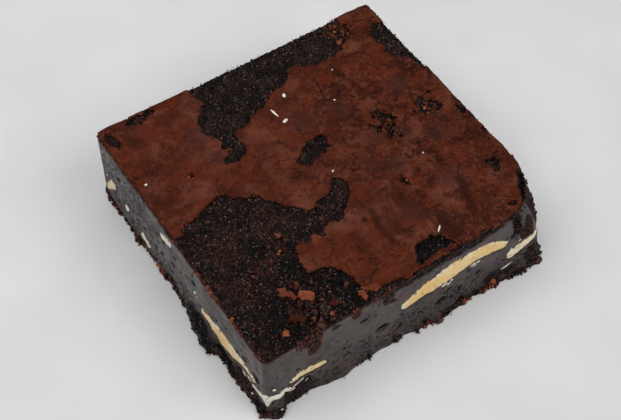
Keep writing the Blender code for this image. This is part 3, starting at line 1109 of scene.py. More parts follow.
        # The hollows pressed in below are marked so that the cut finish paints them near black, as painted
        # shade.
        pit_shade = np.zeros(len(way))
        out = 0.05 * perlin(even, 5.0, seed=33) + 0.03 * perlin(even, 1.3, 2, seed=34)
        lumpy = 0.42 * perlin(even, 2.0, 2, seed=35) + 0.26 * perlin(even, 0.85, seed=36) - 0.12
        grain = self.grain * (np.random.default_rng(SEED + 2).random(len(way)) - 0.5) * 2.0
        out += torn * (lumpy + 0.8 * grain)
        for hollow in self.hollows():
            along = self.block.along(hollow.side, way)
            near = (((along - hollow.along) / hollow.half_length) ** 2
                    + ((height - hollow.height) / hollow.half_height) ** 2)
            shape = np.exp(-near ** 1.5)
            out -= hollow.depth * shape
            pit_shade = np.maximum(pit_shade, shape)
        for chunk in CHUNKS:
            inside = chunk.inside(self.block, way, height)
            out = np.where(inside > 0.1, -self.pocket, out)
            out -= 0.10 * np.exp(-(((inside + 0.25) / 0.3) ** 2))
        at_foot = height < 1e-6
        moved = normals[side] * out[:, None]
        moved[at_foot, 2] = 0.0
        self.points[side] += moved
        self.points[side, 2] = np.maximum(self.points[side, 2], 0.0)
        rightward = smoothstep(-12.0, 6.0, self.block.along(Side.FRONT, way))
        porous = np.maximum(smoothstep(14.0, 3.5, height) * (0.75 + 0.25 * rightward),
                            0.8 * smoothstep(0.0, 20.0, self.block.along(Side.LEFT, way)))
        marks = {"torn": np.ones(len(self.points))}
        marks["torn"][side] = torn
        for name, values in (("pit_shade", pit_shade), ("warm", warm), ("porous", porous)):
            marks[name] = np.zeros(len(self.points))
            marks[name][side] = values
        return marks

    def shape_top(self, known: dict[str, np.ndarray], torn: np.ndarray, warm: np.ndarray) -> np.ndarray:
        """Lower the top below the crust, and give the open places their grain.

        Args:
            known: what lattice() gave.
            torn: how torn each point is.
            warm: how brown each point is. The brown places on top are added to it.

        Returns:
            How black each point is painted, from 0 to 1: partly for moist crumb, and partly as painted shade in
            hollows and on torn places of the sides.
        """
        top = known["top"]
        places = self.points[top]
        x, y = places[:, 0], places[:, 1]
        cover = self.map.cover(x, y)
        bare = smoothstep(0.3, -0.3, cover)
        broken = np.exp(-(((x + 19.0) / 13.0) ** 2 + ((y + 27.0) / 8.0) ** 2) ** 2)
        random = np.random.default_rng(SEED + 1)
        grain = self.grain * (random.random(len(x)) - 0.5) * 2.0
        lumps = 0.34 * perlin(places, 1.1, 2, seed=37) + 0.22 * perlin(places, 4.5, seed=38)
        lumps += broken * (0.75 * perlin(places, 2.6, 2, seed=42) - 0.15)
        rim = smoothstep(-0.1, 0.5, self.block.height - places[:, 2])
        drop = self.under_crust * (1.0 - 0.4 * rim) + self.map.open_depth(x, y, cover)
        self.points[top, 2] += bare * (grain + lumps) * (1.0 - 0.65 * rim) - drop
        worn = depth_inside(x, y, WORN) > 0.0
        self.points[top, 2] += 0.45 * perlin(places, 1.4, 2, seed=39) * worn
        # Torn places of the sides that are not brown are painted near black, partly for moist crumb and partly
        # as painted shade.
        wet_and_shade = 0.9 * torn * np.clip(1.0 - 2.0 * warm, 0.0, 1.0)
        wet_and_shade[top] = soft_spots(x, y, WET_AND_SHADE_SPOTS)
        warm[top] = np.maximum(soft_spots(x, y, BROWN_SPOTS), 0.3 * worn)
        return wet_and_shade

    def build(self) -> bpy.types.Object:
        """Make the crumb's mesh."""
        known = self.lattice()
        normals = point_normals(self.points, self.faces)
        marks = self.shape_sides(known, normals)
        marks["wet_and_shade"] = self.shape_top(known, marks["torn"], marks["warm"])
        item = mesh_object("cake_crumb", self.points, self.faces, marks)
        torn = [sum(marks["torn"][number] for number in face) > self.torn_share * len(face)
                for face in self.faces]
        item.data.polygons.foreach_set("material_index", np.array(torn, np.int32))
        return item


# ---------------------------------------------------------------------------------------------------
# Loose crumbs, scales and slivers
# ---------------------------------------------------------------------------------------------------

@dataclass
class Lumps:
    """Many small irregular bodies joined in one mesh."""

    name: str
    roughness: float = 0.75  # how uneven a lump is
    fineness: int = 1  # how often the starting body is divided
    sharp: float = 35.0  # folds above this angle, in degrees, stay sharp
    mark: str = "tone"  # the name of the number that its finish reads
    ceiling: float = 22.18
    points: list = field(default_factory=list)
    faces: list = field(default_factory=list)
    tones: list = field(default_factory=list)

    def __post_init__(self) -> None:
        """Make the starting body."""
        bm = bmesh.new()
        bmesh.ops.create_icosphere(bm, subdivisions=self.fineness, radius=1.0)
        self.body = np.array([vertex.co[:] for vertex in bm.verts])
        self.body_faces = [tuple(vertex.index for vertex in face.verts) for face in bm.faces]
        bm.free()
        self.random = np.random.default_rng(SEED + len(self.name))

    def add(self, seat: np.ndarray, size: float, stretch: tuple[float, float, float], turn: Euler,
            tone: float) -> None:
        """Add one lump.

        Args:
            seat: its middle.
            size: its mean radius.
            stretch: how much longer it is than that along its own three axes.
            turn: how it lies.
            tone: a number from 0 to 1 that its material turns into a colour.
        """
        shift = self.random.uniform(-50.0, 50.0, 3)
        bulge = 1.0 + self.roughness * perlin(self.body + shift, 0.9)[:, None]
        turned = (self.body * bulge * np.array(stretch) * size) @ np.array(turn.to_matrix()).T
        placed = turned + np.asarray(seat)
        placed[:, 2] = np.clip(placed[:, 2], 0.02, self.ceiling)
        start = len(self.points) * len(self.body)
        self.points.append(placed)
        self.faces += [tuple(start + number for number in face) for face in self.body_faces]
        self.tones.append(np.full(len(placed), tone))

    def any_turn(self) -> Euler:
        """A random way to lie."""
        return Euler(self.random.uniform(0.0, math.tau, 3))

    def build(self) -> bpy.types.Object:
        """Join the lumps."""
        marks = {self.mark: np.concatenate(self.tones)}
        item = mesh_object(self.name, np.concatenate(self.points), self.faces, marks)
        item.data.set_sharp_from_angle(angle=math.radians(self.sharp))
        return item


@dataclass
class LooseBits:
    """Everything small that lies on the brownie or clings to it."""

    block: Block
    map: CrustMap

    def foot_crumbs(self) -> bpy.types.Object:
        """Crumbs that the knife dragged down and left along the foot."""
        lumps = Lumps("foot_crumbs")
        random = lumps.random
        clusters = 380
        for _ in range(clusters):
            middle = random.uniform(0.0, self.block.girth)
            left = self.block.along(Side.LEFT, np.array([middle]))[0]
            front = self.block.along(Side.FRONT, np.array([middle]))[0]
            if -23.0 < front < 3.0 and random.random() < 0.8:
                continue
            reddish = 0.6 if -3.0 < left < 34.0 or 3.0 < front < 22.0 else 0.18
            tone = np.clip(random.normal(reddish, 0.25), 0.0, 1.0)
            reach = random.uniform(0.2, 0.9)
            for _ in range(random.integers(2, 9)):
                way = np.array([middle + random.normal(0.0, reach)])
                height = np.array([abs(random.normal(0.0, 0.75))])
                out = random.uniform(-0.3, 0.4) * math.exp(-height[0] / 2.5)
                seat = self.block.off_side(way, height, out)[0]
                size = 0.11 + 0.5 * random.random() ** 3.4
                stretch = tuple(random.uniform(0.6, 1.4, 3))
                lumps.add(seat, size, stretch, lumps.any_turn(), float(tone))
        return lumps.build()

    def edge_crumbs(self) -> bpy.types.Object:
        """Orange-brown crumbs of crust along the top edges."""
        lumps = Lumps("crust_crumbs")
        random = lumps.random
        for stretch in EDGE_CRUMBS:
            for _ in range(stretch.count):
                share = random.random()
                along = stretch.start + (stretch.end - stretch.start) * share
                way = self.block.way_round(stretch.side, np.array([along]))
                height = np.array([self.block.height - self.block.rim - abs(random.normal(0.0, stretch.drop))])
                seat = self.block.off_side(way, height, random.uniform(-0.35, 0.12))[0]
                seat[2] += random.uniform(0.0, 0.35)
                size = stretch.size * random.uniform(0.55, 1.25)
                form = tuple(random.uniform(0.6, 1.25, 3))
                lumps.add(seat, size, form, lumps.any_turn(), float(random.uniform(*stretch.tone)))
        for x, y, size, tone in TOP_CRUMBS:
            level = self.block.height - 0.1
            lumps.add(np.array([x, y, level]), size, (1.1, 0.9, 0.6), Euler((0, 0, x)), tone)
        for crater in CRATERS:
            for _ in range(int(9 * crater.radius)):
                angle = random.uniform(0.0, math.tau)
                away = crater.radius * random.uniform(0.1, 0.95)
                seat = np.array([crater.x + away * math.cos(angle), crater.y + away * math.sin(angle),
                                 self.block.height - random.uniform(0.05, 0.35)])
                lumps.add(seat, random.uniform(0.14, 0.4), (1.3, 0.8, 0.35), lumps.any_turn(),
                          float(random.uniform(0.35, 1.0)))
        for bx, by, reach, count, size in CRUMB_FIELDS:
            for _ in range(count):
                x = bx + random.normal(0.0, reach)
                y = by + random.normal(0.0, reach)
                if depth_inside(np.array([x]), np.array([y]), [(-34.6, -31.8), (35, -31.8), (35, 33), (-34.6, 33)])[0] < 0:
                    continue
                seat = np.array([x, y, self.block.height - random.uniform(0.3, 0.75)])
                lumps.add(seat, size * random.uniform(0.5, 1.4), tuple(random.uniform(0.6, 1.3, 3)),
                          lumps.any_turn(), float(0.05 + 0.8 * random.random() ** 1.6))
        return lumps.build()

    def slivers(self) -> bpy.types.Object:
        """Slivers and dust of white chocolate on top and at the sides."""
        lumps = Lumps("white_slivers", roughness=0.4, mark="pale")
        for x, y, length, width, angle in TOP_SLIVERS:
            seat = np.array([x, y, self.block.height + float(self.block.swell(np.array([x]), np.array([y]))[0])
                             + width * 0.35])
            lumps.add(seat, 1.0, (length / 2, width / 2, width / 2.4), Euler((0, 0, math.radians(angle))), 0.9)
        for side, along, height, length, width, angle in SIDE_SLIVERS:
            way = self.block.way_round(side, np.array([along]))
            seat = self.block.off_side(way, np.array([height]), 0.02)[0]
            turn = Matrix.Rotation({Side.FRONT: 0.0, Side.LEFT: -math.pi / 2}[side], 3, "Z")
            turn = turn @ Matrix.Rotation(math.radians(-angle), 3, "Y")
            lumps.add(seat, 1.0, (length / 2, 0.16, width / 2), turn.to_euler(), 0.8)
        return lumps.build()


@dataclass(frozen=True)
class EdgeRun:
    """A run of crumbs along a top edge."""

    side: Side
    start: float
    end: float
    count: int
    size: float
    drop: float
    tone: tuple[float, float]


EDGE_CRUMBS = [
    EdgeRun(Side.LEFT, 33.4, 4.0, 300, 0.15, 0.22, (0.35, 1.0)),
    EdgeRun(Side.LEFT, 4.0, -31.0, 260, 0.17, 0.30, (0.2, 0.8)),
    EdgeRun(Side.LEFT, -11.6, -15.6, 60, 0.30, 0.45, (0.5, 0.95)),
    EdgeRun(Side.LEFT, -6.6, -9.2, 26, 0.28, 0.3, (0.6, 1.0)),
    EdgeRun(Side.LEFT, -20.2, -21.2, 4, 0.34, 0.2, (0.9, 1.0)),
    EdgeRun(Side.LEFT, -22.0, -26.0, 40, 0.26, 0.5, (0.4, 0.8)),
    EdgeRun(Side.BACK, -34.6, -19.0, 130, 0.20, 0.25, (0.5, 1.0)),
    EdgeRun(Side.BACK, -19.0, 34.0, 80, 0.15, 0.2, (0.0, 0.4)),
    EdgeRun(Side.RIGHT, -20.0, 33.0, 120, 0.15, 0.25, (0.3, 1.0)),
    EdgeRun(Side.RIGHT, -20.5, -19.3, 8, 0.3, 0.2, (0.8, 1.0)),
    EdgeRun(Side.FRONT, -34.0, 24.0, 300, 0.17, 0.5, (0.0, 0.6)),
    EdgeRun(Side.FRONT, -27.5, -21.5, 120, 0.3, 1.8, (0.25, 0.8)),
    EdgeRun(Side.FRONT, -14.4, -12.8, 36, 0.22, 1.3, (0.4, 0.9)),
    EdgeRun(Side.FRONT, -6.6, -4.0, 44, 0.24, 1.6, (0.35, 0.9)),
    EdgeRun(Side.FRONT, -12.0, 2.0, 90, 0.22, 0.5, (0.2, 0.7)),
    EdgeRun(Side.FRONT, 26.5, 46.0, 90, 0.2, 1.2, (0.0, 0.6)),
]

# (x, y, size, tone) of single crumbs on top.
TOP_CRUMBS = [(-27.8, -29.2, 0.85, 0.95), (-16.7, -9.6, 0.75, 0.75), (-16.3, -11.3, 0.45, 0.7),
              (-25.9, -13.8, 0.5, 0.3), (-21.3, -14.0, 0.45, 0.6), (-18.6, -12.9, 0.4, 0.95),
              (-19.2, -13.3, 0.3, 1.0), (-18.0, -30.4, 0.55, 0.85), (-20.7, -21.7, 0.5, 0.5),
              (-17.4, -22.2, 0.45, 0.4), (23.4, 27.0, 0.65, 0.8), (24.4, 30.0, 0.4, 1.0),
              (4.1, 33.2, 0.4, 0.6), (-13.3, 17.9, 0.3, 0.8), (-30.8, 2.7, 0.5, 0.4)]

# (x, y, reach, count, size) of fields of crumbs on the open crumb.
CRUMB_FIELDS = [(-21.5, -26.5, 3.4, 150, 0.28), (-20.5, -27.5, 2.6, 46, 0.6), (-16.0, -27.0, 2.2, 26, 0.5),
                (-18, -13.5, 1.8, 30, 0.26), (-26, -19.0, 4.0, 60, 0.3), (-28, -31, 3.0, 50, 0.26),
                (24.8, 30.5, 1.6, 60, 0.28), (-14, -31.5, 3.0, 40, 0.28), (-21.0, -31.0, 2.2, 40, 0.3),
                (-15, -21, 4.0, 40, 0.24), (-5, -10, 2.5, 30, 0.24), (-25, -8, 6.0, 60, 0.22),
                (-24, 29, 3.0, 40, 0.3)]

# (x, y, length, width, angle) of slivers on top.
TOP_SLIVERS = [(0.55, 14.2, 1.5, 0.75, 12), (-0.2, 17.3, 2.9, 0.55, 99), (4.1, 20.1, 1.1, 0.85, 60),
               (11.2, -26.2, 2.0, 0.5, 42), (-32.8, 15.8, 0.7, 0.5, 0), (17.4, 20.8, 0.6, 0.3, 60),
               (1.5, -2.4, 0.6, 0.4, 40), (12.7, 13.2, 0.6, 0.5, 0), (20.3, -8.8, 0.5, 0.3, 30)]

# (side, along, height, length, width, angle) of slivers at the sides.
SIDE_SLIVERS = [(Side.FRONT, 8.7, 11.3, 1.9, 0.55, 10), (Side.FRONT, 9.7, 10.6, 1.3, 0.5, 35),
                (Side.FRONT, 10.5, 11.3, 0.9, 0.5, -20), (Side.FRONT, 16.1, 12.2, 1.7, 0.55, 15),
                (Side.FRONT, 17.4, 12.1, 1.3, 0.5, -10), (Side.FRONT, 16.5, 11.5, 1.2, 0.4, 30),
                (Side.FRONT, 8.2, 10.9, 0.6, 0.4, 0), (Side.FRONT, -27.6, 5.5, 2.8, 0.4, 25),
                (Side.FRONT, -25.6, 4.7, 1.9, 0.3, 30), (Side.FRONT, -28.6, 4.4, 1.7, 0.35, 12),
                (Side.FRONT, -26.3, 6.2, 1.2, 0.35, 20), (Side.LEFT, -24.8, 6.4, 2.0, 0.5, -30),
                (Side.LEFT, -26.6, 7.2, 1.6, 0.5, -25), (Side.LEFT, -6.7, 12.2, 1.5, 0.8, 35), (Side.LEFT, -7.4, 11.4, 0.5, 0.4, 0),
                (Side.FRONT, 25.3, 4.4, 3.4, 0.45, 12), (Side.FRONT, 31.6, 4.6, 1.6, 0.5, 10),
                (Side.FRONT, 28.4, 11.4, 0.8, 0.3, 60), (Side.FRONT, 26.2, 10.2, 0.5, 0.3, 60),
                (Side.FRONT, -33.0, 9.6, 1.3, 0.6, -40), (Side.FRONT, -31.8, 2.2, 0.8, 0.5, -20),
                (Side.LEFT, -27.6, 2.6, 0.9, 0.5, 20), (Side.LEFT, 30.9, 9.6, 0.5, 0.7, 0)]


# ---------------------------------------------------------------------------------------------------
# Finishes
# ---------------------------------------------------------------------------------------------------

def linear(hex_colour: str) -> tuple[float, float, float, float]:
    """Turn an sRGB hex colour into linear red, green, blue and alpha."""
    parts = [int(hex_colour[at:at + 2], 16) / 255.0 for at in (1, 3, 5)]
    straight = [part / 12.92 if part <= 0.04045 else ((part + 0.055) / 1.055) ** 2.4 for part in parts]
    return (*straight, 1.0)


def per_metre(pitch: float) -> float:
    """The texture scale that gives a pattern of this pitch in millimetres."""
    return 1.0 / (pitch * MM)


def add(tree: bpy.types.NodeTree, kind: str, settings: dict | None = None,
        inputs: dict | None = None) -> bpy.types.Node:
    """Add a shader node with its settings and links.

    Args:
        tree: the material's node tree.
        kind: the node's type, without its prefix.
        settings: values of the node's own options.
        inputs: for each input, by name or number, a plain value or the output that feeds it.

    Returns:
        The new node.
    """
    made = tree.nodes.new("ShaderNode" + kind)
    for name, value in (settings or {}).items():
        setattr(made, name, value)
    for name, value in (inputs or {}).items():
        if isinstance(value, bpy.types.NodeSocket):
            tree.links.new(value, made.inputs[name])
        else:
            made.inputs[name].default_value = value
    return made


@dataclass
class Recipe:
    """A material in the making, with the few steps that every finish here is mixed from."""

    name: str

    def __post_init__(self) -> None:
        """Start an empty material with its coordinates."""
        self.material = bpy.data.materials.new(self.name)
        self.material.use_nodes = True
        self.tree = self.material.node_tree
        self.tree.nodes.clear()
        self.place = add(self.tree, "TexCoord").outputs["Object"]

    def mark(self, name: str) -> bpy.types.NodeSocket:
        """A number that the mesh carries."""
        return add(self.tree, "Attribute", {"attribute_name": name}).outputs["Fac"]

    def mottle(self, pitch: float, detail: float = 2.0, roughness: float = 0.5,
               distortion: float = 0.0) -> bpy.types.NodeSocket:
        """Cloudy noise of a pitch in millimetres."""
        inputs = {"Vector": self.place, "Scale": per_metre(pitch), "Detail": detail, "Roughness": roughness,
                  "Distortion": distortion}
        return add(self.tree, "TexNoise", None, inputs).outputs[0]

    def grains(self, pitch: float, output: str = "Distance", flatness: float = 1.0) -> bpy.types.NodeSocket:
        """Cells of a pitch in millimetres, as many times wider than high as their flatness says."""
        lying = add(self.tree, "VectorMath", {"operation": "MULTIPLY"},
                    {0: self.place, 1: (1.0, 1.0, flatness)}).outputs[0]
        inputs = {"Vector": lying, "Scale": per_metre(pitch), "Randomness": 1.0}
        return add(self.tree, "TexVoronoi", None, inputs).outputs[output]

    def veins(self, pitch: float, width: float, seldom: float = 0.5) -> bpy.types.NodeSocket:
        """Thin winding lines, broken off in places.

        Args:
            pitch: how far apart they run, in millimetres.
            width: how wide they are, as a share of the noise that they follow.
            seldom: which share of the surface has none.

        Returns:
            A number that is 1 in the middle of a line.
        """
        winding = self.mottle(pitch, 3.0, 0.55, 1.2)
        away = self.sum("ABSOLUTE", self.sum("SUBTRACT", winding, 0.5), 0.0)
        line = self.ramp(away, 0.0, width, 1.0, 0.0)
        return self.sum("MULTIPLY", line, self.ramp(self.mottle(pitch * 1.3, 1.0), seldom, seldom + 0.12))

    def ramp(self, value: bpy.types.NodeSocket, low: float, high: float, to_low: float = 0.0,
             to_high: float = 1.0) -> bpy.types.NodeSocket:
        """Spread the values between low and high over another range, softly."""
        inputs = {"Value": value, "From Min": low, "From Max": high, "To Min": to_low, "To Max": to_high}
        return add(self.tree, "MapRange", {"interpolation_type": "SMOOTHSTEP"}, inputs).outputs[0]

    def sum(self, operation: str, first: bpy.types.NodeSocket | float,
            second: bpy.types.NodeSocket | float) -> bpy.types.NodeSocket:
        """One arithmetic step."""
        return add(self.tree, "Math", {"operation": operation}, {0: first, 1: second}).outputs[0]

    def blend(self, share: bpy.types.NodeSocket | float, first: bpy.types.NodeSocket | str,
              second: bpy.types.NodeSocket | str) -> bpy.types.NodeSocket:
        """Mix two colours, each an output or a hex colour."""
        colours = [linear(colour) if isinstance(colour, str) else colour for colour in (first, second)]
        inputs = {0: share, 6: colours[0], 7: colours[1]}
        return add(self.tree, "Mix", {"data_type": "RGBA"}, inputs).outputs[2]

    def bump(self, height: bpy.types.NodeSocket, depth: float,
             under: bpy.types.NodeSocket | None = None) -> bpy.types.NodeSocket:
        """Relief of a depth in millimetres, over other relief if given."""
        inputs = {"Height": height, "Distance": depth * MM, "Strength": 1.0}
        if under is not None:
            inputs["Normal"] = under
        return add(self.tree, "Bump", None, inputs).outputs[0]

    def finish(self, surface: dict) -> bpy.types.Material:
        """Close the material with its surface.

        Args:
            surface: inputs of the principled shader.

        Returns:
            The material.
        """
        shader = add(self.tree, "BsdfPrincipled", None, surface)
        add(self.tree, "OutputMaterial", None, {"Surface": shader.outputs[0]})
        return self.material


@dataclass(frozen=True)
class SlicedCrumb:
    """Dense cocoa crumb where a damp knife passed through it.

    The knife smears fat and sugar into a thin dark skin. At a low angle it mirrors the pale table, so the
    cut sides look grey, with many small dull pores, and brown smears where crust was dragged down. The
    pores and the gouges are painted near black: painted shade inside them.
    """

    skin: str = "#2C1C18"
    brown: str = "#3A231B"
    warm: str = "#4A1F12"
    # painted shade: the near black inside pores and gouges
    pore: str = "#070404"
    roughness: float = 0.33
    pore_roughness: float = 0.8
    pore_pitches: tuple[float, float, float] = (1.5, 0.95, 0.6)  # in millimetres
    streak_pitch: float = 4.0

    def build(self) -> bpy.types.Material:
        """Make the material."""
        mix = Recipe("sliced_crumb")
        warm = mix.ramp(mix.sum("ADD", mix.mark("warm"), mix.ramp(mix.mottle(1.2, 3.0), 0.3, 0.7, -0.3, 0.3)),
                        0.25, 0.8)
        torn = mix.ramp(mix.mark("torn"), 0.0, 0.6)
        # painted shade: the gouges and pores pressed into the mesh, and the pore cells drawn below, turn near
        # black
        pit_shade = mix.ramp(mix.mark("pit_shade"), 0.12, 0.45)
        dense = mix.ramp(mix.mottle(8.0, 2.0), 0.35, 0.65, -0.14, 0.16)
        dense = mix.sum("ADD", dense, mix.ramp(mix.mark("porous"), 0.0, 1.0, 0.30, -0.36))
        holes = pit_shade
        for pitch in self.pore_pitches:
            chosen = mix.sum("SUBTRACT", mix.grains(pitch, "Color", 1.7), dense)
            depth = mix.ramp(mix.grains(pitch, "Distance", 1.7), 0.38, 0.22)
            pore = mix.sum("MULTIPLY", mix.ramp(chosen, 0.54, 0.60), depth)
            holes = mix.sum("MAXIMUM", holes, pore)
        dull = mix.sum("MAXIMUM", holes, mix.sum("MAXIMUM", torn, warm))
        streaks = mix.ramp(mix.mottle(self.streak_pitch, 4.0, 0.6), 0.45, 0.68)
        colour = mix.blend(streaks, self.skin, self.brown)
        colour = mix.blend(warm, colour, self.warm)
        # painted shade: pores and gouges are painted near black
        colour = mix.blend(holes, colour, self.pore)
        waves = mix.ramp(mix.mottle(3.4, 4.0, 0.6), 0.36, 0.66, self.roughness - 0.05, self.roughness + 0.15)
        rough = mix.ramp(dull, 0.0, 1.0, 0.0, self.pore_roughness - self.roughness)
        smear = mix.bump(mix.mottle(1.5, 5.0, 0.65), 0.10)
        normal = mix.bump(mix.ramp(holes, 0.0, 1.0, 1.0, 0.0), 0.25, smear)
        return mix.finish({"Base Color": colour, "Roughness": mix.sum("ADD", waves, rough), "IOR": 1.5,
                           "Normal": normal, "Specular IOR Level": 0.5})


@dataclass(frozen=True)
class TornCrumb:
    """Dense cocoa crumb where it is torn open.

    It is all pores and grains, so it swallows the light and is nearly black. Its pores, hollows and torn
    foot are painted blacker still, partly for moist crumb and partly as painted shade. Small light dots
    painted on single grains are painted highlights, for facets of sugar and fat that catch the light.
    """

    black: str = "#1A0F0D"
    brown: str = "#4A2E26"
    warm: str = "#5E3222"
    # near black, for moist crumb and as painted shade in pores and hollows
    wet_and_shade: str = "#040202"
    # painted highlight: light dots on single grains, for glints of sugar and fat
    sugar: str = "#8C7672"
    roughness: float = 0.32
    grain_pitch: float = 0.5  # grains of sugar, drawn a little coarser than they are so that they show

    def build(self) -> bpy.types.Material:
        """Make the material."""
        mix = Recipe("torn_crumb")
        fine = mix.mottle(self.grain_pitch, 3.0, 0.7)
        grains = mix.grains(self.grain_pitch)
        clumps = mix.mottle(1.8, 4.0, 0.65)
        colour = mix.blend(mix.ramp(clumps, 0.42, 0.64, 0.0, 0.9), self.black, self.brown)
        warm = mix.sum("MULTIPLY", mix.mark("warm"), mix.ramp(mix.mottle(1.1, 3.0, 0.6), 0.38, 0.60))
        colour = mix.blend(mix.ramp(warm, 0.0, 1.0, 0.0, 0.7), colour, self.warm)
        # painted shade: the low places of the fine mottle become black pores
        colour = mix.blend(mix.ramp(fine, 0.55, 0.42), colour, self.wet_and_shade)
        # painted near black where the mesh is marked: moist crumb, and painted shade in hollows and on the torn
        # sides
        colour = mix.blend(mix.ramp(mix.mark("wet_and_shade"), 0.0, 1.0, 0.0, 0.85), colour, self.wet_and_shade)
        # painted highlights: chosen grains are lightened, standing for facets that catch the light
        chosen = mix.ramp(mix.grains(self.grain_pitch, "Color"), 0.64, 0.80)
        sugar = mix.sum("MULTIPLY", chosen, mix.ramp(grains, 0.42, 0.25))
        colour = mix.blend(mix.ramp(sugar, 0.0, 1.0, 0.0, 0.75), colour, self.sugar)
        rough = mix.ramp(mix.mottle(0.9, 2.0), 0.35, 0.65, self.roughness - 0.06, self.roughness + 0.25)
        coarse = mix.bump(mix.mottle(1.2, 4.0, 0.65), 0.55)
        normal = mix.bump(mix.sum("ADD", grains, fine), 0.5, coarse)
        return mix.finish({"Base Color": colour, "Roughness": rough, "IOR": 1.45, "Normal": normal,
                           "Specular IOR Level": 0.24})


@dataclass(frozen=True)
class BakedSugarCrust:
    """Baked egg-and-sugar skin, dried in the oven to a brittle sheet.

    It is satin, hardly mirrors anything, and is mottled red-brown, lighter and more orange where it is
    broken. Its folds and shallow hollows are darkened with painted shade, and its torn edges with a painted
    shadow where they stand over the crumb.
    """

    base: str = "#5A240F"
    deep: str = "#2E0D04"
    dusty: str = "#6C3A2A"
    # near black, for specks, crack lines and the painted shade in creases
    fold: str = "#140502"
    broken: str = "#73361A"
    # painted shadow along the torn edges of the crust
    rim: str = "#1E0904"
    bloom: str = "#3C221E"
    salmon: str = "#8C4B33"
    roughness: float = 0.50
    cloud_pitch: float = 7.0
    blotch_pitch: float = 2.2
    fleck_pitch: float = 0.7

    def build(self) -> bpy.types.Material:
        """Make the material."""
        mix = Recipe("baked_sugar_crust")
        clouds = mix.mottle(self.cloud_pitch, 5.0, 0.6, 0.8)
        colour = mix.blend(mix.ramp(clouds, 0.36, 0.60, 0.45, 1.0), self.deep, self.base)
        colour = mix.blend(mix.ramp(mix.mottle(11.0, 4.0, 0.6), 0.48, 0.70), colour, self.dusty)
        plates = mix.ramp(mix.mottle(4.0, 5.0, 0.6, 0.8), 0.54, 0.60, 0.0, 0.5)
        colour = mix.blend(plates, colour, self.dusty)
        rough_part = mix.ramp(mix.mark("wrinkled"), 0.0, 1.0, 0.35, 1.0)
        blotches = mix.ramp(mix.mottle(self.blotch_pitch, 4.0, 0.7, 0.5), 0.52, 0.62, 0.0, 0.75)
        colour = mix.blend(mix.sum("MULTIPLY", blotches, rough_part), colour, self.deep)
        bands = mix.ramp(mix.mottle(6.0, 3.0, 0.55, 1.0), 0.53, 0.62, 0.0, 0.7)
        colour = mix.blend(mix.sum("MULTIPLY", bands, rough_part), colour, self.deep)
        flecks = mix.ramp(mix.mottle(self.fleck_pitch, 3.0, 0.6), 0.56, 0.63, 0.0, 0.6)
        colour = mix.blend(mix.sum("MULTIPLY", flecks, rough_part), colour, self.deep)
        specks = mix.ramp(mix.mottle(0.6, 2.0, 0.6), 0.66, 0.70, 0.0, 0.9)
        colour = mix.blend(specks, colour, self.fold)
        lights = mix.ramp(mix.mottle(1.0, 3.0, 0.65), 0.58, 0.66, 0.0, 0.55)
        colour = mix.blend(mix.sum("MULTIPLY", lights, rough_part), colour, self.dusty)
        glints = mix.ramp(mix.mottle(0.7, 2.0, 0.6), 0.70, 0.74, 0.0, 0.6)
        colour = mix.blend(glints, colour, self.salmon)
        colour = mix.blend(mix.ramp(mix.veins(5.0, 0.024, 0.42), 0.0, 1.0, 0.0, 0.7), colour, self.fold)
        colour = mix.blend(mix.ramp(mix.veins(3.4, 0.03, 0.5), 0.0, 1.0, 0.0, 0.5), colour, self.dusty)
        colour = mix.blend(mix.ramp(mix.mark("bloom"), 0.1, 0.9, 0.0, 0.5), colour, self.bloom)
        # painted shade in the shallow hollows of the wide creases, and the darker colour of some flakes
        colour = mix.blend(mix.ramp(mix.mark("stain_and_shade"), 0.1, 0.9, 0.0, 0.7), colour, self.deep)
        # painted shade in the bottoms of the narrow creases
        crease_shade = mix.sum("MULTIPLY", mix.mark("crease_shade"), mix.ramp(mix.mottle(1.5, 3.0), 0.35, 0.6))
        colour = mix.blend(mix.ramp(crease_shade, 0.25, 0.95, 0.0, 0.7), colour, self.fold)
        # painted shadow: the crust darkens towards its torn edge
        colour = mix.blend(mix.ramp(mix.mark("edge"), 0.3, 0.9, 0.0, 0.65), colour, self.rim)
        edge = mix.sum("MULTIPLY", mix.mark("edge"), mix.ramp(mix.mottle(2.2, 3.0), 0.56, 0.64))
        colour = mix.blend(mix.ramp(edge, 0.3, 0.9, 0.0, 0.8), colour, self.broken)
        salmon = mix.sum("MULTIPLY", mix.mark("pale"), mix.ramp(mix.mottle(1.0, 3.0), 0.35, 0.6, 0.5, 1.0))
        colour = mix.blend(salmon, colour, self.salmon)
        rough = mix.ramp(mix.mottle(3.0, 4.0, 0.6), 0.3, 0.7, self.roughness - 0.12, self.roughness + 0.10)
        skin = mix.bump(mix.mottle(1.7, 5.0, 0.65, 0.4), 0.3)
        normal = mix.bump(mix.mottle(0.45, 2.0), 0.08, skin)
        return mix.finish({"Base Color": colour, "Roughness": rough, "IOR": 1.45, "Normal": normal,
                           "Specular IOR Level": 0.12})


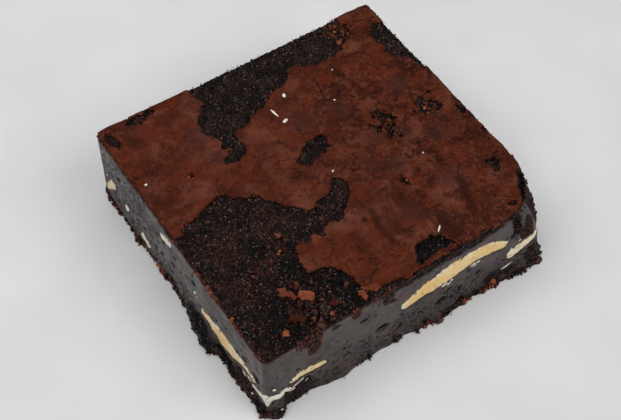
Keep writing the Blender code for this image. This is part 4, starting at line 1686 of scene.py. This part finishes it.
@dataclass(frozen=True)
class WhiteChocolate:
    """White chocolate chunks, melted and set again in the cake, then cut.

    Cocoa butter makes them cream to yellow and a little waxy. Light enters them a short way. Their rims
    are whiter, and the knife has left some brown cake on them.
    """

    cream: str = "#FBDA94"
    yellow: str = "#F8C874"
    chalk: str = "#F5EFE4"
    smear: str = "#7A4A2E"
    roughness: float = 0.40

    def build(self) -> bpy.types.Material:
        """Make the material."""
        mix = Recipe("white_chocolate")
        colour = mix.blend(mix.ramp(mix.mottle(4.0, 3.0), 0.4, 0.65), self.yellow, self.cream)
        white = mix.sum("MULTIPLY", mix.mark("edge"), mix.ramp(mix.mottle(3.0, 2.0), 0.4, 0.6, 0.2, 0.9))
        colour = mix.blend(mix.sum("MAXIMUM", white, mix.mark("pale")), colour, self.chalk)
        dust = mix.ramp(mix.mottle(0.8, 3.0, 0.65), 0.60, 0.66, 0.0, 0.75)
        colour = mix.blend(dust, colour, self.smear)
        smeared = mix.sum("MULTIPLY", mix.mark("edge"), mix.ramp(mix.mottle(1.0, 3.0), 0.46, 0.62))
        colour = mix.blend(mix.ramp(smeared, 0.30, 0.75, 0.0, 0.85), colour, self.smear)
        normal = mix.bump(mix.mottle(0.9, 3.0), 0.06)
        return mix.finish({"Base Color": colour, "Roughness": self.roughness, "IOR": 1.45, "Normal": normal,
                           "Subsurface Weight": 0.2, "Subsurface Radius": (0.0012, 0.0009, 0.0005),
                           "Subsurface Scale": 1.0})


@dataclass(frozen=True)
class LooseCrumb:
    """Crumbs rubbed off the cake and its crust, dry and matt: near black, red-brown or orange-brown."""

    dark: str = "#1A0D09"
    red: str = "#4E1F10"
    orange: str = "#9A5028"

    def build(self) -> bpy.types.Material:
        """Make the material."""
        mix = Recipe("loose_crumb")
        tone = mix.mark("tone")
        colour = mix.blend(mix.ramp(tone, 0.15, 0.6), self.dark, self.red)
        colour = mix.blend(mix.ramp(tone, 0.6, 1.0), colour, self.orange)
        colour = mix.blend(mix.ramp(mix.mottle(0.5, 2.0), 0.45, 0.7, 0.0, 0.5), colour, self.dark)
        normal = mix.bump(mix.mottle(0.3, 2.0), 0.10)
        return mix.finish({"Base Color": colour, "Roughness": 0.45, "IOR": 1.45, "Normal": normal,
                           "Specular IOR Level": 0.4})


@dataclass(frozen=True)
class PaintedBoard:
    """A matt white painted board, very slightly uneven."""

    paint: str = "#EBEBEB"
    shade: str = "#E4E4E5"

    def build(self) -> bpy.types.Material:
        """Make the material."""
        mix = Recipe("painted_board")
        colour = mix.blend(mix.ramp(mix.mottle(30.0, 3.0), 0.3, 0.7), self.paint, self.shade)
        normal = mix.bump(mix.mottle(9.0, 3.0), 0.05)
        return mix.finish({"Base Color": colour, "Roughness": 0.7, "IOR": 1.45, "Normal": normal,
                           "Specular IOR Level": 0.2})


# ---------------------------------------------------------------------------------------------------
# Where it is shown
# ---------------------------------------------------------------------------------------------------

@dataclass(frozen=True)
class SoftBox:
    """A square lamp behind a diffuser."""

    name: str
    place: tuple[float, float, float]  # metres
    size: float
    power: float

    def hang(self, aim: Vector) -> None:
        """Hang the lamp, facing a point."""
        lamp = bpy.data.lights.new(self.name, "AREA")
        lamp.shape = "SQUARE"
        lamp.size = self.size
        lamp.energy = self.power
        item = bpy.data.objects.new(self.name, lamp)
        item.location = self.place
        item.rotation_euler = (aim - Vector(self.place)).to_track_quat("-Z", "Y").to_euler()
        bpy.context.scene.collection.objects.link(item)


@dataclass(frozen=True)
class Studio:
    """A pale board under soft light, and a camera that looks down on one corner of the brownie."""

    aim: tuple[float, float, float] = (-3.52, -1.92, 10.7)  # millimetres
    azimuth: float = -35.59  # degrees from -Y, clockwise from above
    elevation: float = 54.95
    roll: float = 1.88
    distance: float = 259.74
    lens: float = 70.09
    board: float = 1.6  # metres
    sky: float = 0.26
    boxes: tuple[SoftBox, ...] = (
        SoftBox("overhead_box", (-0.22, 0.10, 0.62), 0.62, 2.3),
        SoftBox("front_box", (0.65, -0.95, 1.20), 1.1, 10.5),
    )

    def light(self) -> None:
        """Set the sky and hang the lamps."""
        world = bpy.data.worlds.new("studio")
        world.use_nodes = True
        background = world.node_tree.nodes["Background"]
        background.inputs["Color"].default_value = (1.0, 1.0, 1.0, 1.0)
        background.inputs["Strength"].default_value = self.sky
        bpy.context.scene.world = world
        for box in self.boxes:
            box.hang(Vector((0.0, 0.0, 0.0)))
        bpy.context.scene.view_settings.view_transform = "Standard"

    def floor(self) -> bpy.types.Object:
        """Lay the board."""
        bm = bmesh.new()
        bmesh.ops.create_grid(bm, x_segments=8, y_segments=8, size=self.board / 2.0)
        mesh = bpy.data.meshes.new("board")
        bm.to_mesh(mesh)
        bm.free()
        board = bpy.data.objects.new("board", mesh)
        bpy.context.scene.collection.objects.link(board)
        board.data.materials.append(PaintedBoard().build())
        return board

    def camera(self) -> None:
        """Place the camera."""
        turn = math.radians(self.azimuth)
        rise = math.radians(self.elevation)
        back = Vector((math.sin(turn) * math.cos(rise), -math.cos(turn) * math.cos(rise), math.sin(rise)))
        level = Vector((math.cos(turn), math.sin(turn), 0.0))
        upright = back.cross(level)
        tilt = math.radians(self.roll)
        right = math.cos(tilt) * level + math.sin(tilt) * upright
        up = math.cos(tilt) * upright - math.sin(tilt) * level
        lens = bpy.data.cameras.new("camera")
        lens.sensor_width = 36.0
        lens.lens = self.lens
        lens.clip_start = 0.01
        item = bpy.data.objects.new("camera", lens)
        place = (Vector(self.aim) + back * self.distance) * MM
        item.matrix_world = Matrix.Translation(place) @ Matrix((right, up, back)).transposed().to_4x4()
        bpy.context.scene.collection.objects.link(item)
        bpy.context.scene.camera = item


# ---------------------------------------------------------------------------------------------------
# The whole
# ---------------------------------------------------------------------------------------------------

@dataclass
class Brownie:
    """The dressed brownie: builds each piece, gives it its finish and ties it to the frame."""

    block: Block = field(default_factory=Block)

    def tie(self, piece: bpy.types.Object, finishes: list[bpy.types.Material], replaced: str | None) -> None:
        """Give a piece its finish and its place in the frame.

        Args:
            piece: the piece.
            finishes: its materials, in the order of its faces' numbers.
            replaced: the solid that it stands for, if any.
        """
        for finish in finishes:
            piece.data.materials.append(finish)
        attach(piece, "root")
        if replaced:
            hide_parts(replaced)
        LOG.info("%s: %d faces", piece.name, len(piece.data.polygons))

    def build(self) -> None:
        """Build and dress every piece."""
        crust_map = CrustMap(self.block)
        cake = [SlicedCrumb().build(), TornCrumb().build()]
        sugar = [BakedSugarCrust().build()]
        white = [WhiteChocolate().build()]
        loose = [LooseCrumb().build()]
        self.tie(Crumb(self.block, crust_map).build(), cake, "crumb")
        self.tie(Crust(self.block, crust_map).build(), sugar, None)
        plates = WhiteChocolateChunks(self.block)
        for chunk in CHUNKS:
            self.tie(plates.build(chunk), white, chunk.node)
        bits = LooseBits(self.block, crust_map)
        self.tie(bits.foot_crumbs(), loose, None)
        self.tie(bits.edge_crumbs(), loose, None)
        self.tie(bits.slivers(), white, None)


def main() -> None:
    """Dress the brownie, then set up the studio around it."""
    logging.basicConfig(level=logging.INFO, format="%(name)s: %(message)s")
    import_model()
    Brownie().build()
    studio = Studio()
    studio.floor()
    studio.light()
    studio.camera()


if __name__ == "__main__":
    main()
